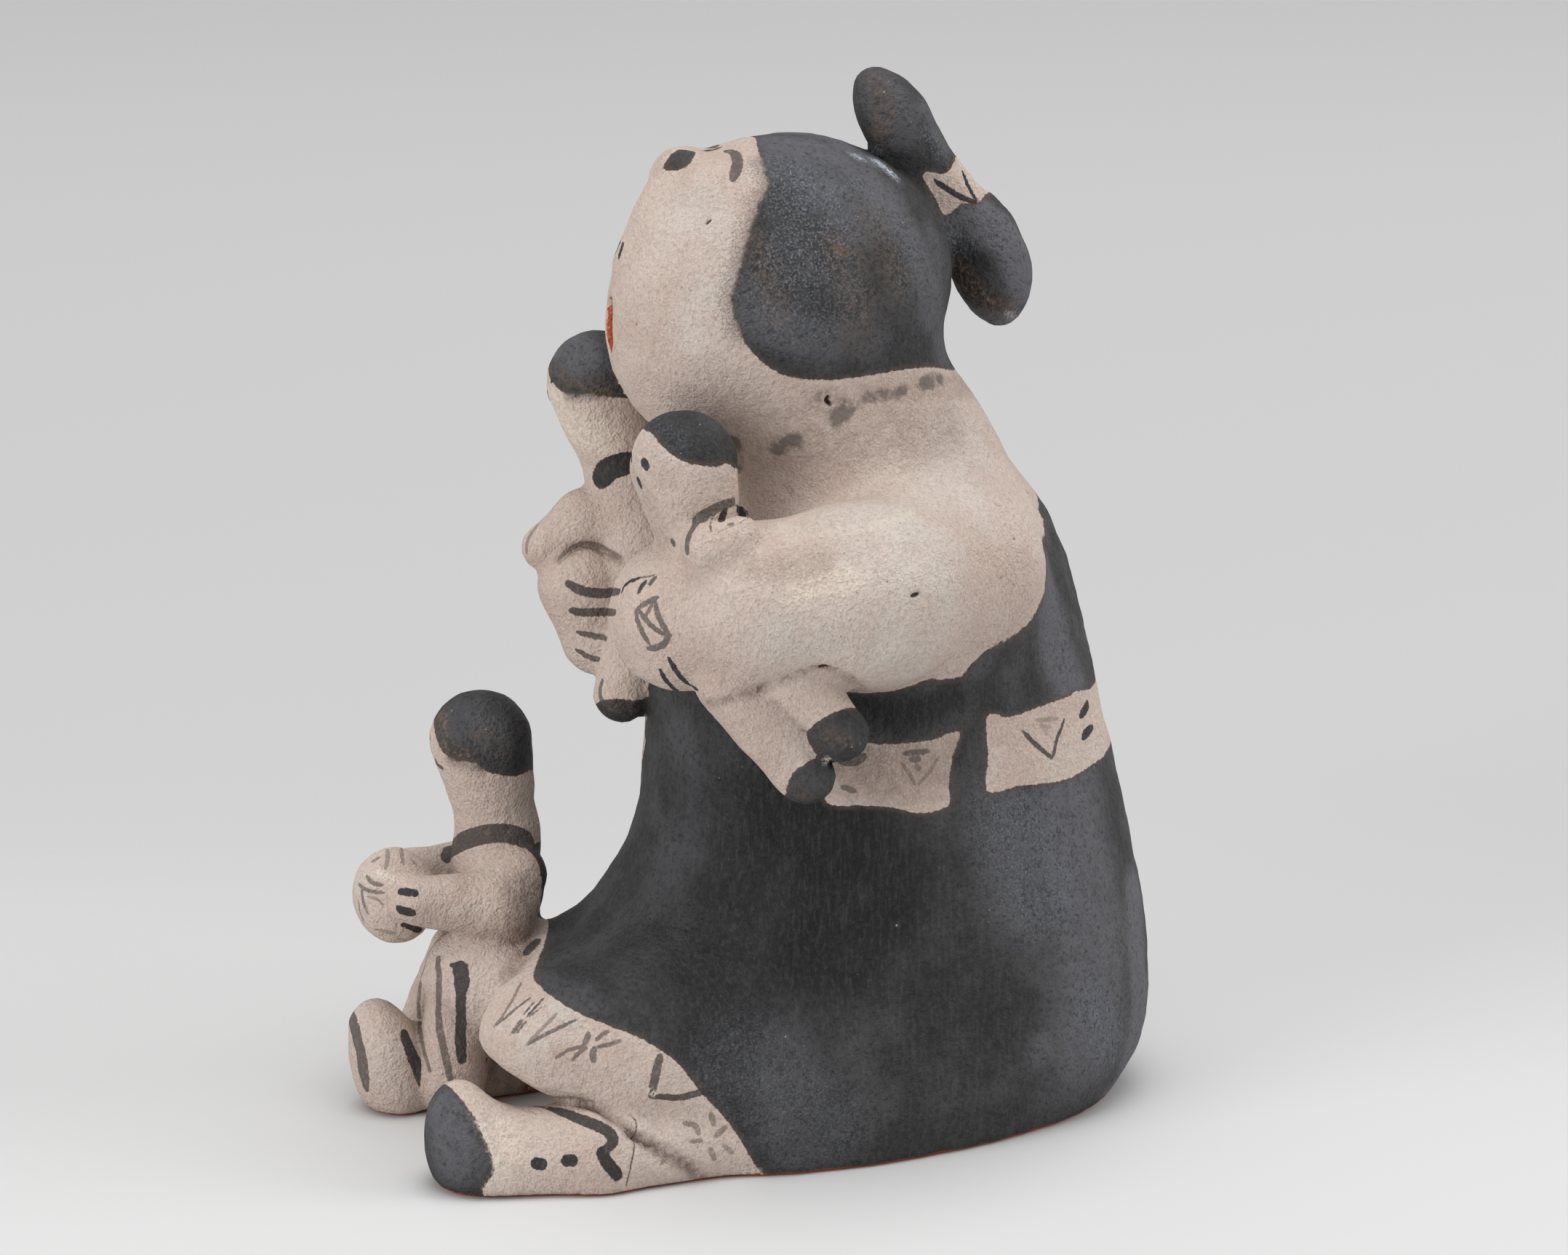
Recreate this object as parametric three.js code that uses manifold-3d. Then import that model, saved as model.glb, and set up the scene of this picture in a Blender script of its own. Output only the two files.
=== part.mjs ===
// A seated storyteller figure in fired clay: a grandmother with her head thrown back in song, with
// three children on her arms and leg. It is one solid, modelled by hand, its parts luted together
// before firing. Millimetres, +Z up. She faces -Y, her left hand is towards +X, and the table that
// she sits on is z = 0.

import * as THREE from 'three';
import { SimplifyModifier } from 'three/addons/modifiers/SimplifyModifier.js';
import { mergeVertices } from 'three/addons/utils/BufferGeometryUtils.js';
import Module from 'manifold-3d';

// Driving sizes
const HEIGHT = 208; // from the table to the top of the hair bun
const ARM = 15.5; // radius of the grandmother's arms
const CHILD_HEAD = 10.2; // radius of a child's head
const CHILD_NECK = 7.4;
const CHILD_BODY = 10;
const CHILD_ARM = 5.4;
const CHILD_THIGH = 7;
const CHILD_FOOT = 5.4;
const BALL = 8.9; // radius of the small painted pot that the third child holds
const MOUTH = 5; // depth of the open mouth
const JOINT = 1.5; // width over which one piece of clay is smoothed into the next

// Fineness of the surface
const GRID = 2; // spacing of the grid that the surface is read from
const TRIANGLES = 9000;

// The pose and the proportions are written for a figure 208 mm tall, and follow HEIGHT.
const UNIT = HEIGHT / 208;
const at = (x, y, z) => [x * UNIT, y * UNIT, z * UNIT];

const span = (x, y, z) => Math.sqrt(x * x + y * y + z * z);

// A form is a function that gives the distance of a point from its surface, negative inside.

// A rounded lump with a radius along each axis, leaning back over x by an angle.
function lump([cx, cy, cz], [rx, ry, rz], lean = 0) {
  const cos = Math.cos(lean);
  const sin = Math.sin(lean);
  return (x, y, z) => {
    const px = (x - cx) / rx;
    const py = ((y - cy) * cos + (z - cz) * sin) / ry;
    const pz = ((z - cz) * cos - (y - cy) * sin) / rz;
    const near = span(px, py, pz);
    const steep = span(px / rx, py / ry, pz / rz);
    return steep > 0 ? near * (near - 1) / steep : -Math.min(rx, ry, rz);
  };
}

// A roll of clay between two points, with a radius at each.
function roll(a, b, startRadius, endRadius = startRadius) {
  const [dx, dy, dz] = b.map((v, i) => v - a[i]);
  const length2 = dx * dx + dy * dy + dz * dz;
  return (x, y, z) => {
    const [px, py, pz] = [x - a[0], y - a[1], z - a[2]];
    const t = Math.min(1, Math.max(0, (px * dx + py * dy + pz * dz) / length2));
    return span(px - t * dx, py - t * dy, pz - t * dz) - startRadius - t * (endRadius - startRadius);
  };
}

// Pieces luted together, with the joint smoothed over a width.
function luted(width, ...forms) {
  return (x, y, z) => {
    let d = forms[0](x, y, z);
    for (let i = 1; i < forms.length; i++) {
      const e = forms[i](x, y, z);
      const h = Math.max(width - Math.abs(d - e), 0) / width;
      d = Math.min(d, e) - h * h * width / 4;
    }
    return d;
  };
}

// A piece with clay pared away where the second form is, the edge rounded over a width.
function pared(form, cutter, width) {
  return (x, y, z) => {
    const d = form(x, y, z);
    const e = -cutter(x, y, z);
    const h = Math.max(width - Math.abs(d - e), 0) / width;
    return Math.max(d, e) + h * h * width / 4;
  };
}

// A bent limb, rolled through a list of [point, radius].
function limb(joints, width = 3) {
  const rolls = joints.slice(1).map(([b, rb], i) => roll(joints[i][0], b, joints[i][1], rb));
  return luted(width, ...rolls);
}

// A smooth curve through stations of [height, value, value, ...], read at one height.
function profileAt(stations, z) {
  const last = stations.length - 1;
  let i = 0;
  while (i < last - 1 && z > stations[i + 1][0]) i++;
  const [p, q] = [stations[i], stations[i + 1]];
  const before = stations[Math.max(i - 1, 0)];
  const after = stations[Math.min(i + 2, last)];
  const rise = q[0] - p[0];
  const t = Math.min(1, Math.max(0, (z - p[0]) / rise));
  return p.slice(1).map((start, k) => {
    const end = q[k + 1];
    const slopeIn = (end - before[k + 1]) / (q[0] - before[0]) * rise;
    const slopeOut = (after[k + 1] - start) / (after[0] - p[0]) * rise;
    const curve = start + t * slopeIn + t * t * (3 * (end - start) - 2 * slopeIn - slopeOut);
    return curve + t * t * t * (2 * (start - end) + slopeIn + slopeOut);
  });
}

// The bell of the body up into the neck: oval sections, each with the front, the back and the
// half width at its height.
function bell() {
  const stations = [
    [-4, -27, 53, 34], [0, -30, 56.5, 36], [12, -36, 63, 39.5], [30, -40, 63.5, 41], [50, -41, 60, 41],
    [84, -38.5, 51.8, 38], [103, -36, 47.5, 35.5], [118, -33, 42, 32], [130, -31.5, 33.5, 27.5],
    [146, -32, 24, 24.5], [164, -24, 8, 13],
  ].map((station) => station.map((v) => v * UNIT));
  const top = stations.at(-1)[0];
  return (x, y, z) => {
    const [front, back, side] = profileAt(stations, z);
    const deep = (back - front) / 2;
    const reach = span(x / side, (y - (front + back) / 2) / deep, 0);
    return Math.max((reach - 1) * Math.min(side, deep), z - top);
  };
}

// The lap and the skirt over the outstretched legs, heaped higher on her right, where the third
// child sits. The hem rises from the table to the shins and leaves a hollow between the legs.
function skirt() {
  const spread = lump(at(0, -20, 6), at(41.5, 44, 35));
  const lap = limb([[at(0, -34, 20), 19 * UNIT], [at(2, -56, 22), 14 * UNIT]]);
  const leftThigh = limb([
    [at(20, -28, 17), 22 * UNIT], [at(22, -50, 23.5), 17 * UNIT], [at(20, -67, 26), 13.8 * UNIT],
  ]);
  const rightThigh = limb([
    [at(-20, -28, 12), 22 * UNIT], [at(-24, -49, 14), 17.5 * UNIT], [at(-20, -67.5, 25), 13.2 * UNIT],
  ]);
  const heap = limb([[at(-13, -27, 33), 13 * UNIT], [at(-17, -52, 20.5), 13 * UNIT]]);
  const hemSlope = 0.57;
  const [, hemHeel] = at(0, -43, 0);
  const underHem = (x, y, z) => (y - hemHeel) * Math.sin(hemSlope) + z * Math.cos(hemSlope);
  return pared(luted(8, luted(14, spread, lap), leftThigh, rightThigh, heap), underHem, 3);
}

// A leg in its moccasin boot, with the sole turned up at the toe.
function boot(side, reach, toe, turnUp) {
  const shin = limb([
    [at(30 * side, -34, 6), 10 * UNIT], [at(31 * side, -62, 5.5), 10.2 * UNIT],
    [at(28 * side, -78, 6), 9.3 * UNIT],
  ]);
  const sole = lump(at(24.5 * side, -reach, toe - 5), at(9.6, 7.6, toe), turnUp);
  return luted(5, shin, sole);
}

function head() {
  const skull = lump(at(0, -12, 167), at(28.5, 33, 28.5));
  const jaw = lump(at(0, -20, 158), at(25, 26.5, 22), 0.3);
  return luted(8, skull, jaw);
}

// The face looks up and a little to her right: a low nose between two full lids, over an open mouth.
function withFace(form) {
  const turn = 0.12;
  const onFace = (x, y, z) => at(x + Math.tan(turn) * (y + 12), y, z);
  const nose = limb([
    [onFace(0, -32.4, 189.8), 4.2 * UNIT], [onFace(0, -36.6, 180.5), 3.6 * UNIT],
    [onFace(0, -40.8, 171.5), 3.6 * UNIT],
  ]);
  const lids = [1, -1].map((side) => lump(onFace(9 * side, -29.6, 186.8), at(6.3, 5.8, 5.3), 0.6));
  const mouth = lump(onFace(0, -46.5, 160), [3.4 * UNIT, MOUTH, 5 * UNIT]);
  return pared(luted(4, form, nose, ...lids), mouth, 1);
}

// The hair bun, two long loops bound at the waist.
function bun() {
  const upper = lump(at(0, 10.8, 197.1), at(7.4, 6.7, 12.1), 0.58);
  const waist = roll(at(0, 16.4, 190.6), at(0, 25.8, 178), 4.9 * UNIT, 4.8 * UNIT);
  const lower = lump(at(0, 30.4, 168.8), at(8.2, 7.9, 13.8), 0.3);
  return luted(3, upper, waist, lower);
}

// The arms reach forward round two children, and the flat hands nearly meet.
function leftArm() {
  const joints = [
    [at(26, 13, 114), ARM * 1.1], [at(39.5, -9, 113.5), ARM * 1.03], [at(38, -30, 113.5), ARM * 1.02],
  ];
  const hand = lump(at(27, -42, 109.5), [15 * UNIT, ARM * 0.9, ARM * 0.94]);
  return luted(6, limb(joints, 8), hand);
}

function rightArm() {
  const joints = [
    [at(-26, 13, 113), ARM * 1.1], [at(-40.5, -9, 111.5), ARM], [at(-37.5, -30, 108), ARM],
  ];
  const hand = [
    [at(-30, -38, 104), ARM * 0.71], [at(-19, -46.8, 105.5), ARM * 0.53], [at(-17, -44.6, 95), ARM * 0.49],
  ];
  return luted(6, limb(joints, 8), limb(hand, 4));
}

// A child is a head like a rounded pin on a short body, with arms and legs of rolled clay. A joint
// of an arm and the foot of a leg have a thickness of their own, as a share of the usual one.
function child({ crown, neck, hips, arms, legs }) {
  return luted(
    JOINT,
    roll(crown, neck, CHILD_HEAD, CHILD_NECK),
    roll(neck, hips, CHILD_BODY * 0.86, CHILD_BODY),
    ...arms.map((joints) => limb(joints.map(([p, share]) => [p, CHILD_ARM * share]))),
    ...legs.map(([hip, foot, share]) => roll(hip, foot, CHILD_THIGH, CHILD_FOOT * share)),
  );
}

function leftChild() {
  return child({
    crown: at(26, -41.5, 138.5),
    neck: at(28, -38.5, 122),
    hips: at(36, -28, 104),
    arms: [[[at(34, -41, 124.5), 0.9], [at(40.5, -41.5, 125.5), 0.78], [at(42.5, -36, 128), 0.7]]],
    legs: [[at(39, -37, 99), at(44, -23.5, 80.5), 1], [at(43, -26, 99), at(46.5, -17.5, 89), 1]],
  });
}

function rightChild() {
  return child({
    crown: at(-21, -43, 145.2),
    neck: at(-19, -37.4, 126),
    hips: at(-14, -34, 103),
    arms: [[[at(-18, -38, 118.5), 1.25], [at(-20, -46.2, 118.2), 1], [at(-22, -54.4, 112.6), 0.82]]],
    legs: [[at(-12, -38, 98), at(-9, -42.6, 85), 1]],
  });
}

// The third child sits astride her right shin and holds a pot before it in both hands.
function frontChild() {
  const pot = at(-28, -84, 42.7);
  const armOf = (side) => [
    [at(-28 + 8 * side, -61, 47), 1.1], [at(-28 + 10.5 * side, -65.5, 41.5), 1.3],
    [[pot[0] + side * (BALL + CHILD_ARM * 0.02), pot[1] + BALL * 0.22, pot[2] + 1.3 * UNIT], 0.95],
  ];
  const seated = child({
    crown: at(-28, -65.7, 72.8),
    neck: at(-28, -62.5, 54),
    hips: at(-27.5, -64.5, 31),
    arms: [1, -1].map(armOf),
    legs: [[at(-20.5, -71.5, 27), at(-18.9, -76, 7), 1.38], [at(-36, -68, 26), at(-42, -75, 8), 1]],
  });
  return luted(JOINT, seated, lump(pot, [BALL, BALL * 0.95, BALL * 1.07]));
}

// The whole figure, closed a little below the table.
function figure() {
  const seated = luted(22, bell(), skirt());
  const body = withFace(luted(9, seated, head()));
  const grandmother = luted(JOINT, luted(10, body, leftArm(), rightArm()), bun());
  const boots = luted(JOINT, boot(1, 85.8, 13, 0.12), boot(-1, 86.8, 14, 0.27));
  const group = luted(JOINT, grandmother, boots, leftChild(), rightChild(), frontChild());
  const bottom = -2 * GRID;
  return (x, y, z) => Math.max(group(x, y, z), bottom - z);
}

// Reads the surface of a form off a grid, each cell split into six tetrahedra round its diagonal.
function surfaceOf(form, low, high) {
  const n = low.map((v, i) => Math.ceil((high[i] - v) / GRID) + 1);
  const [row, layer] = [n[0], n[0] * n[1]];
  const pointOf = (i) => [
    low[0] + (i % row) * GRID,
    low[1] + (Math.floor(i / row) % n[1]) * GRID,
    low[2] + Math.floor(i / layer) * GRID,
  ];
  const least = GRID / 100;
  const value = new Float32Array(layer * n[2]).map((_, i) => {
    const d = form(...pointOf(i));
    return Math.abs(d) < least ? least : d;
  });

  const position = [];
  const index = [];
  const made = new Map();
  const crossing = (a, b) => {
    const key = a < b ? a * value.length + b : b * value.length + a;
    if (!made.has(key)) {
      const [p, q] = [pointOf(a), pointOf(b)];
      const t = value[a] / (value[a] - value[b]);
      made.set(key, position.length / 3);
      position.push(...settled(form, p.map((v, k) => v + t * (q[k] - v))));
    }
    return made.get(key);
  };

  const corners = [0, 1, 2, 3, 4, 5, 6, 7].map((c) => (c & 1) + (c >> 1 & 1) * row + (c >> 2) * layer);
  const diagonals = [[1, 3], [3, 2], [2, 6], [6, 4], [4, 5], [5, 1]];
  for (let origin = 0; origin < value.length - corners[7]; origin++) {
    const outside = value[origin] > 0;
    if (corners.every((c) => value[origin + c] > 0 === outside)) continue;
    for (const [c, d] of diagonals) {
      const tetrahedron = [0, corners[c], corners[d], corners[7]].map((step) => origin + step);
      index.push(...crossingTriangles(tetrahedron, value, crossing));
    }
  }
  return new THREE.BufferGeometry()
    .setAttribute('position', new THREE.Float32BufferAttribute(position, 3))
    .setIndex(index);
}

// The one or two triangles where the surface passes through a right-handed tetrahedron.
function crossingTriangles(corners, value, crossing) {
  const inside = corners.map((p) => value[p] < 0);
  const count = inside.filter(Boolean).length;
  if (count === 0 || count === 4) return [];
  if (count !== 2) {
    const order = [[0, 1, 2, 3], [1, 0, 3, 2], [2, 0, 1, 3], [3, 0, 2, 1]][inside.indexOf(count === 1)];
    const [a, ...others] = order.map((k) => corners[k]);
    const triangle = others.map((other) => crossing(a, other));
    return count === 1 ? triangle : triangle.reverse();
  }
  const a = corners[0];
  const order = [[], [1, 2, 3], [2, 3, 1], [3, 1, 2]][inside.lastIndexOf(inside[0])];
  const [b, c, d] = order.map((k) => corners[k]);
  const [p, q, r, s] = [crossing(a, c), crossing(a, d), crossing(b, d), crossing(b, c)];
  return inside[0] ? [p, q, r, p, r, s] : [r, q, p, s, r, p];
}

// Moves a point near the surface the last tenths of a millimetre onto the form.
function settled(form, [x, y, z]) {
  const h = GRID / 20;
  const slope = [
    form(x + h, y, z) - form(x - h, y, z),
    form(x, y + h, z) - form(x, y - h, z),
    form(x, y, z + h) - form(x, y, z - h),
  ].map((rise) => rise / (2 * h));
  const steep = span(...slope);
  const move = THREE.MathUtils.clamp(form(x, y, z) / steep, -GRID / 4, GRID / 4);
  return [x - move * slope[0] / steep, y - move * slope[1] / steep, z - move * slope[2] / steep];
}

// The same surface with fewer triangles.
async function lightened(geometry, triangles) {
  const surplus = geometry.getAttribute('position').count - triangles / 2;
  return new SimplifyModifier().modify(geometry, Math.round(surplus));
}

// Draws every corner towards the middle of its neighbours along the surface, which evens the facets.
function evened(geometry, form) {
  const position = geometry.getAttribute('position');
  const index = geometry.getIndex().array;
  const sums = new Float64Array(position.count * 4);
  index.forEach((corner, i) => {
    const next = index[i % 3 === 2 ? i - 2 : i + 1];
    sums[corner * 4] += position.getX(next);
    sums[corner * 4 + 1] += position.getY(next);
    sums[corner * 4 + 2] += position.getZ(next);
    sums[corner * 4 + 3] += 1;
  });
  for (let i = 0; i < position.count; i++) {
    const own = [position.getX(i), position.getY(i), position.getZ(i)];
    const drawn = own.map((v, k) => v + (sums[i * 4 + k] / sums[i * 4 + 3] - v) * 0.4);
    position.setXYZ(i, ...settled(form, drawn));
  }
  return geometry;
}

const wasm = await Module();
wasm.setup();

function solidOf(geometry) {
  return new wasm.Manifold(new wasm.Mesh({
    numProp: 3,
    vertProperties: new Float32Array(geometry.getAttribute('position').array),
    triVerts: new Uint32Array(geometry.getIndex().array),
  }));
}

function geometryOf(solid) {
  const { vertProperties, triVerts } = solid.getMesh();
  return new THREE.BufferGeometry()
    .setAttribute('position', new THREE.BufferAttribute(vertProperties, 3))
    .setIndex(new THREE.BufferAttribute(triVerts, 1));
}

// The underside is cut flat, as the wet clay was pressed on the table.
function cutFlat(geometry) {
  const wide = 2 * HEIGHT;
  const block = new THREE.BoxGeometry(wide, wide, wide).translate(0, 0, -wide / 2);
  block.deleteAttribute('normal');
  block.deleteAttribute('uv');
  return geometryOf(solidOf(geometry).subtract(solidOf(mergeVertices(block))));
}

const form = figure();
const room = 10;
const low = at(-62, -95, 0).map((v) => v - room);
const high = at(62, 66, 208).map((v) => v + room);
const full = evened(evened(surfaceOf(form, low, high), form), form);
const light = await lightened(full, TRIANGLES);
const shape = cutFlat(evened(evened(light, form), form));

// The middle of the figure's box stands over the origin.
shape.computeBoundingBox();
const middle = shape.boundingBox.getCenter(new THREE.Vector3());
shape.translate(-middle.x, -middle.y, 0);
shape.computeVertexNormals();

const clay = new THREE.MeshStandardMaterial({ color: 0xc9b3a6, roughness: 0.9, metalness: 0 });
const storyteller = new THREE.Mesh(shape, clay);
storyteller.name = 'storyteller';

export default new THREE.Group().add(storyteller);
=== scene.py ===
import bpy
import numpy as np
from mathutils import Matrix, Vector, noise


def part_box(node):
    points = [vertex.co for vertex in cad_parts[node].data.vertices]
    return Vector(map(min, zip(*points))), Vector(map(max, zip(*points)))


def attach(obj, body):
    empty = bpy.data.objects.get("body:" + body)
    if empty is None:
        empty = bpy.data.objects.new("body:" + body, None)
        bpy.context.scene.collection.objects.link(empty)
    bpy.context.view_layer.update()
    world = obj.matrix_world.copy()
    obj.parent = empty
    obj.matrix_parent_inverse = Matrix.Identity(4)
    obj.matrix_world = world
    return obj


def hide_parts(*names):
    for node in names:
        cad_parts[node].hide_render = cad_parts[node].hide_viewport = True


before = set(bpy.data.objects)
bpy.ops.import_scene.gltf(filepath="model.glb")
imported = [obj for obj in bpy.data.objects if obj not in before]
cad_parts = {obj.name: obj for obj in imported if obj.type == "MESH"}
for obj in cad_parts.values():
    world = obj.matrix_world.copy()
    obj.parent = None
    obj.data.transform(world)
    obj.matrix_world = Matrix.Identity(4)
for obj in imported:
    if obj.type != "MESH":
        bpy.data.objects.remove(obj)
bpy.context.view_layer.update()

# The viewpoint
# The figure is seen from its left side, a little from in front and from above, about a metre away.
# Lengths are in millimetres: she faces -Y, her left hand is towards +X and the table is z = 0.
METRE = 1000
PICTURE = np.array([2156, 1725])
EYE = np.array([1014.9, -381.4, 372.0])
AIM = np.array([0.0, -12.0, 98.0])
FIELD_OF_VIEW = np.radians(15.7)
FOCUS = PICTURE[0] / 2 / np.tan(FIELD_OF_VIEW / 2)

# What brings the figure, as it is modelled here, over the middle of its box.
MIDDLE = np.array([0.27, 15.52, 0.0])

forward = (AIM - EYE) / np.linalg.norm(AIM - EYE)
rightward = np.cross(forward, (0, 0, 1))
rightward /= np.linalg.norm(rightward)
upward = np.cross(rightward, forward)

camera_data = bpy.data.cameras.new("camera")
camera_data.sensor_width = 36
camera_data.lens = camera_data.sensor_width / 2 / np.tan(FIELD_OF_VIEW / 2)
camera_data.clip_start = 0.01
camera = bpy.data.objects.new("camera", camera_data)
camera.location = Vector((EYE + MIDDLE) / METRE)
camera.rotation_euler = Vector(forward).to_track_quat("-Z", "Y").to_euler()
bpy.context.scene.collection.objects.link(camera)
bpy.context.scene.camera = camera
bpy.context.scene.view_settings.view_transform = "Standard"

# The body
# The grandmother is modelled by hand in soft red clay, a bell of a body with a wide skirt pinched
# out over the legs, smoothed with a wet rag and covered in a pale pink slip.
MODEL_HEIGHT = 207.88
TINY = 1e-6
low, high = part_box("storyteller")
UNIT = (high.z - low.z) * METRE / MODEL_HEIGHT


def lump(centre, radii, lean=0.0):
    """A rounded lump with a radius along each axis, leaning back over x by an angle."""
    centre = np.array(centre) * UNIT
    radii = np.array(radii) * UNIT
    cos, sin = np.cos(lean), np.sin(lean)

    def distance(p):
        x, y, z = (p - centre).T
        q = np.stack([x, y * cos + z * sin, z * cos - y * sin], 1) / radii
        near = np.linalg.norm(q, axis=1)
        steep = np.linalg.norm(q / radii, axis=1)
        return near * (near - 1) / np.maximum(steep, TINY)

    return distance


def roll(start, end, start_radius, end_radius):
    """A roll of clay between two points, with a radius at each."""
    start = np.array(start) * UNIT
    along = np.array(end) * UNIT - start
    start_radius, end_radius = start_radius * UNIT, end_radius * UNIT

    def distance(p):
        away = p - start
        t = np.clip(away @ along / (along @ along), 0, 1)
        gap = np.linalg.norm(away - t[:, None] * along, axis=1)
        return gap - start_radius - t * (end_radius - start_radius)

    return distance


def luted(width, *forms):
    """Pieces luted together, with the joint smoothed over a width."""

    def distance(p):
        d = forms[0](p)
        for form in forms[1:]:
            e = form(p)
            h = np.maximum(width - np.abs(d - e), 0) / width
            d = np.minimum(d, e) - h * h * width / 4
        return d

    return distance


def pared(form, cutter, width):
    """A piece with clay pared away where the second form is, the edge rounded over a width."""

    def distance(p):
        d = form(p)
        e = -cutter(p)
        h = np.maximum(width - np.abs(d - e), 0) / width
        return np.maximum(d, e) + h * h * width / 4

    return distance


def limb(joints, width=3):
    """A bent limb, rolled through a list of (point, radius)."""
    return luted(width, *[roll(a, b, ra, rb) for (a, ra), (b, rb) in zip(joints, joints[1:])])


def curve_through(places, values, at):
    """A smooth curve through values given at rising places, read at others."""
    places, values = np.array(places, float), np.array(values, float)
    before, after = [0, *range(len(places) - 1)], [*range(1, len(places)), len(places) - 1]
    slopes = (values[after] - values[before]) / (places[after] - places[before])[:, None]
    i = np.clip(np.searchsorted(places, at) - 1, 0, len(places) - 2)
    rise = places[i + 1] - places[i]
    t = np.clip((at - places[i]) / rise, 0, 1)[:, None]
    rise = rise[:, None]
    inward, outward = slopes[i] * rise, slopes[i + 1] * rise
    gain = values[i + 1] - values[i]
    cubic = t * inward + t**2 * (3 * gain - 2 * inward - outward)
    return values[i] + cubic + t**3 * (inward + outward - 2 * gain)


def bell(p):
    """Oval sections, each with its front, back and half width at a height."""
    heights = [-4, 0, 12, 30, 50, 84, 103, 118, 130, 146, 164]
    sections = [
        (-27, 53, 34), (-30, 56.5, 36), (-36, 63, 39.5), (-40, 63.5, 41), (-41, 60, 41),
        (-38.5, 51.8, 38), (-36, 47.5, 35.5), (-33, 42, 32), (-31.5, 33.5, 27.5), (-32, 24, 24.5),
        (-24, 8, 13),
    ]
    front, back, side = (curve_through(heights, sections, p[:, 2] / UNIT) * UNIT).T
    deep = (back - front) / 2
    reach = np.hypot(p[:, 0] / side, (p[:, 1] - (front + back) / 2) / deep)
    return np.maximum((reach - 1) * np.minimum(side, deep), p[:, 2] - heights[-1] * UNIT)


HEM_SLOPE = 0.57
HEM_HEEL = -43 * UNIT


def under_hem(p):
    """The hollow between the legs, below the slope of the hem."""
    return (p[:, 1] - HEM_HEEL) * np.sin(HEM_SLOPE) + p[:, 2] * np.cos(HEM_SLOPE)


spread = lump((0, -20, 6), (41.5, 44, 35))
lap = limb([((0, -34, 20), 19), ((2, -56, 22), 14)])
thighs = [
    limb([((20, -28, 17), 22), ((22, -50, 23.5), 17), ((20, -67, 26), 13.8)]),
    limb([((-20, -28, 12), 22), ((-24, -49, 14), 17.5), ((-20, -67.5, 25), 13.2)]),
    limb([((-13, -27, 33), 13), ((-17, -52, 20.5), 13)]),
]
skirt = pared(luted(8, luted(14, spread, lap), *thighs), under_hem, 3)
trunk = luted(22, bell, skirt)

# The head and the bun
# The head is a ball of clay thrown back on a thick neck, with a pinched nose, two swollen lids and a
# mouth pressed in for the song. The bun is a rolled hourglass, luted on behind the crown.
FACE_TURN = np.tan(0.12)
FACE_DEPTH = 12


def on_face(x, y, z):
    """A place on the head, which is turned a little to her right."""
    return (x + FACE_TURN * (y + FACE_DEPTH), y, z)


skull = luted(8, lump((0, -12, 167), (28.5, 33, 28.5)), lump((0, -20, 158), (25, 26.5, 22), 0.3))
nose = limb([
    (on_face(0, -32.4, 189.8), 4.2), (on_face(0, -36.6, 180.5), 3.6), (on_face(0, -40.8, 171.5), 3.6),
])
lids = [lump(on_face(9 * s, -29.6, 186.8), (6.3, 5.8, 5.3), 0.6) for s in (1, -1)]
mouth = lump(on_face(0, -46.5, 160), (3.4, 5, 5))
bun = luted(
    3,
    lump((0, 10.8, 197.1), (7.4, 6.7, 12.1), 0.58),
    roll((0, 16.4, 190.6), (0, 25.8, 178), 4.9, 4.8),
    lump((0, 30.4, 168.8), (8.2, 7.9, 13.8), 0.3),
)
body = pared(luted(4, luted(9, trunk, skull), nose, *lids), mouth, 1)

# The arms
# Two thick rolls of clay come forward from the shoulders, are luted to the breast and end in flat
# mitten hands, each round a child.
left_arm = luted(
    6,
    limb([((26, 13, 114), 17.05), ((39.5, -9, 113.5), 16), ((38, -30, 113.5), 15.8)], 8),
    lump((27, -42, 109.5), (15, 14, 14.6)),
)
right_arm = luted(
    6,
    limb([((-26, 13, 113), 17.05), ((-40.5, -9, 111.5), 15.5), ((-37.5, -30, 108), 15.5)], 8),
    limb([((-30, -38, 104), 11), ((-19, -46.8, 105.5), 8.2), ((-17, -44.6, 95), 7.6)], 4),
)
grandmother = luted(1.5, luted(10, body, left_arm, right_arm), bun)

# The boots
# Her legs end in moccasins, each a short roll of clay under the hem with the sole pinched up at the
# toe, luted to its leg.


def boot(side, reach, toe, turn_up):
    """A leg and its moccasin, on her left with side 1 and on her right with side -1."""
    shin = limb([
        ((30 * side, -34, 6), 10), ((31 * side, -62, 5.5), 10.2), ((28 * side, -78, 6), 9.3),
    ])
    return luted(5, shin, lump((24.5 * side, -reach, toe - 5), (9.6, 7.6, toe), turn_up))


left_boot = boot(1, 85.8, 13, 0.12)
right_boot = boot(-1, 86.8, 14, 0.27)

# The children
# Each child is a head like a rounded pin on a short body, with arms and legs of rolled clay: one on
# each arm, and a third astride her right shin, which holds a small pot.
LEFT_CROWN = (26, -41.5, 138.5)
RIGHT_CROWN = (-21, -43, 145.2)
FRONT_CROWN = (-28, -65.7, 72.8)
HEAD_RADIUS, NECK_RADIUS = 10.2, 7.4
SHOULDER_RADIUS, SEAT_RADIUS = 8.6, 10
HIP_RADIUS, LIMB_RADIUS = 7, 5.4


def child(crown, neck, hips, arms, legs):
    """A child, its arms given as (point, share of their thickness) and its legs as (hip, foot, share)."""
    return luted(
        1.5,
        roll(crown, neck, HEAD_RADIUS, NECK_RADIUS),
        roll(neck, hips, SHOULDER_RADIUS, SEAT_RADIUS),
        *[limb([(p, LIMB_RADIUS * share) for p, share in joints]) for joints in arms],
        *[roll(hip, foot, HIP_RADIUS, LIMB_RADIUS * share) for hip, foot, share in legs],
    )


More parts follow.
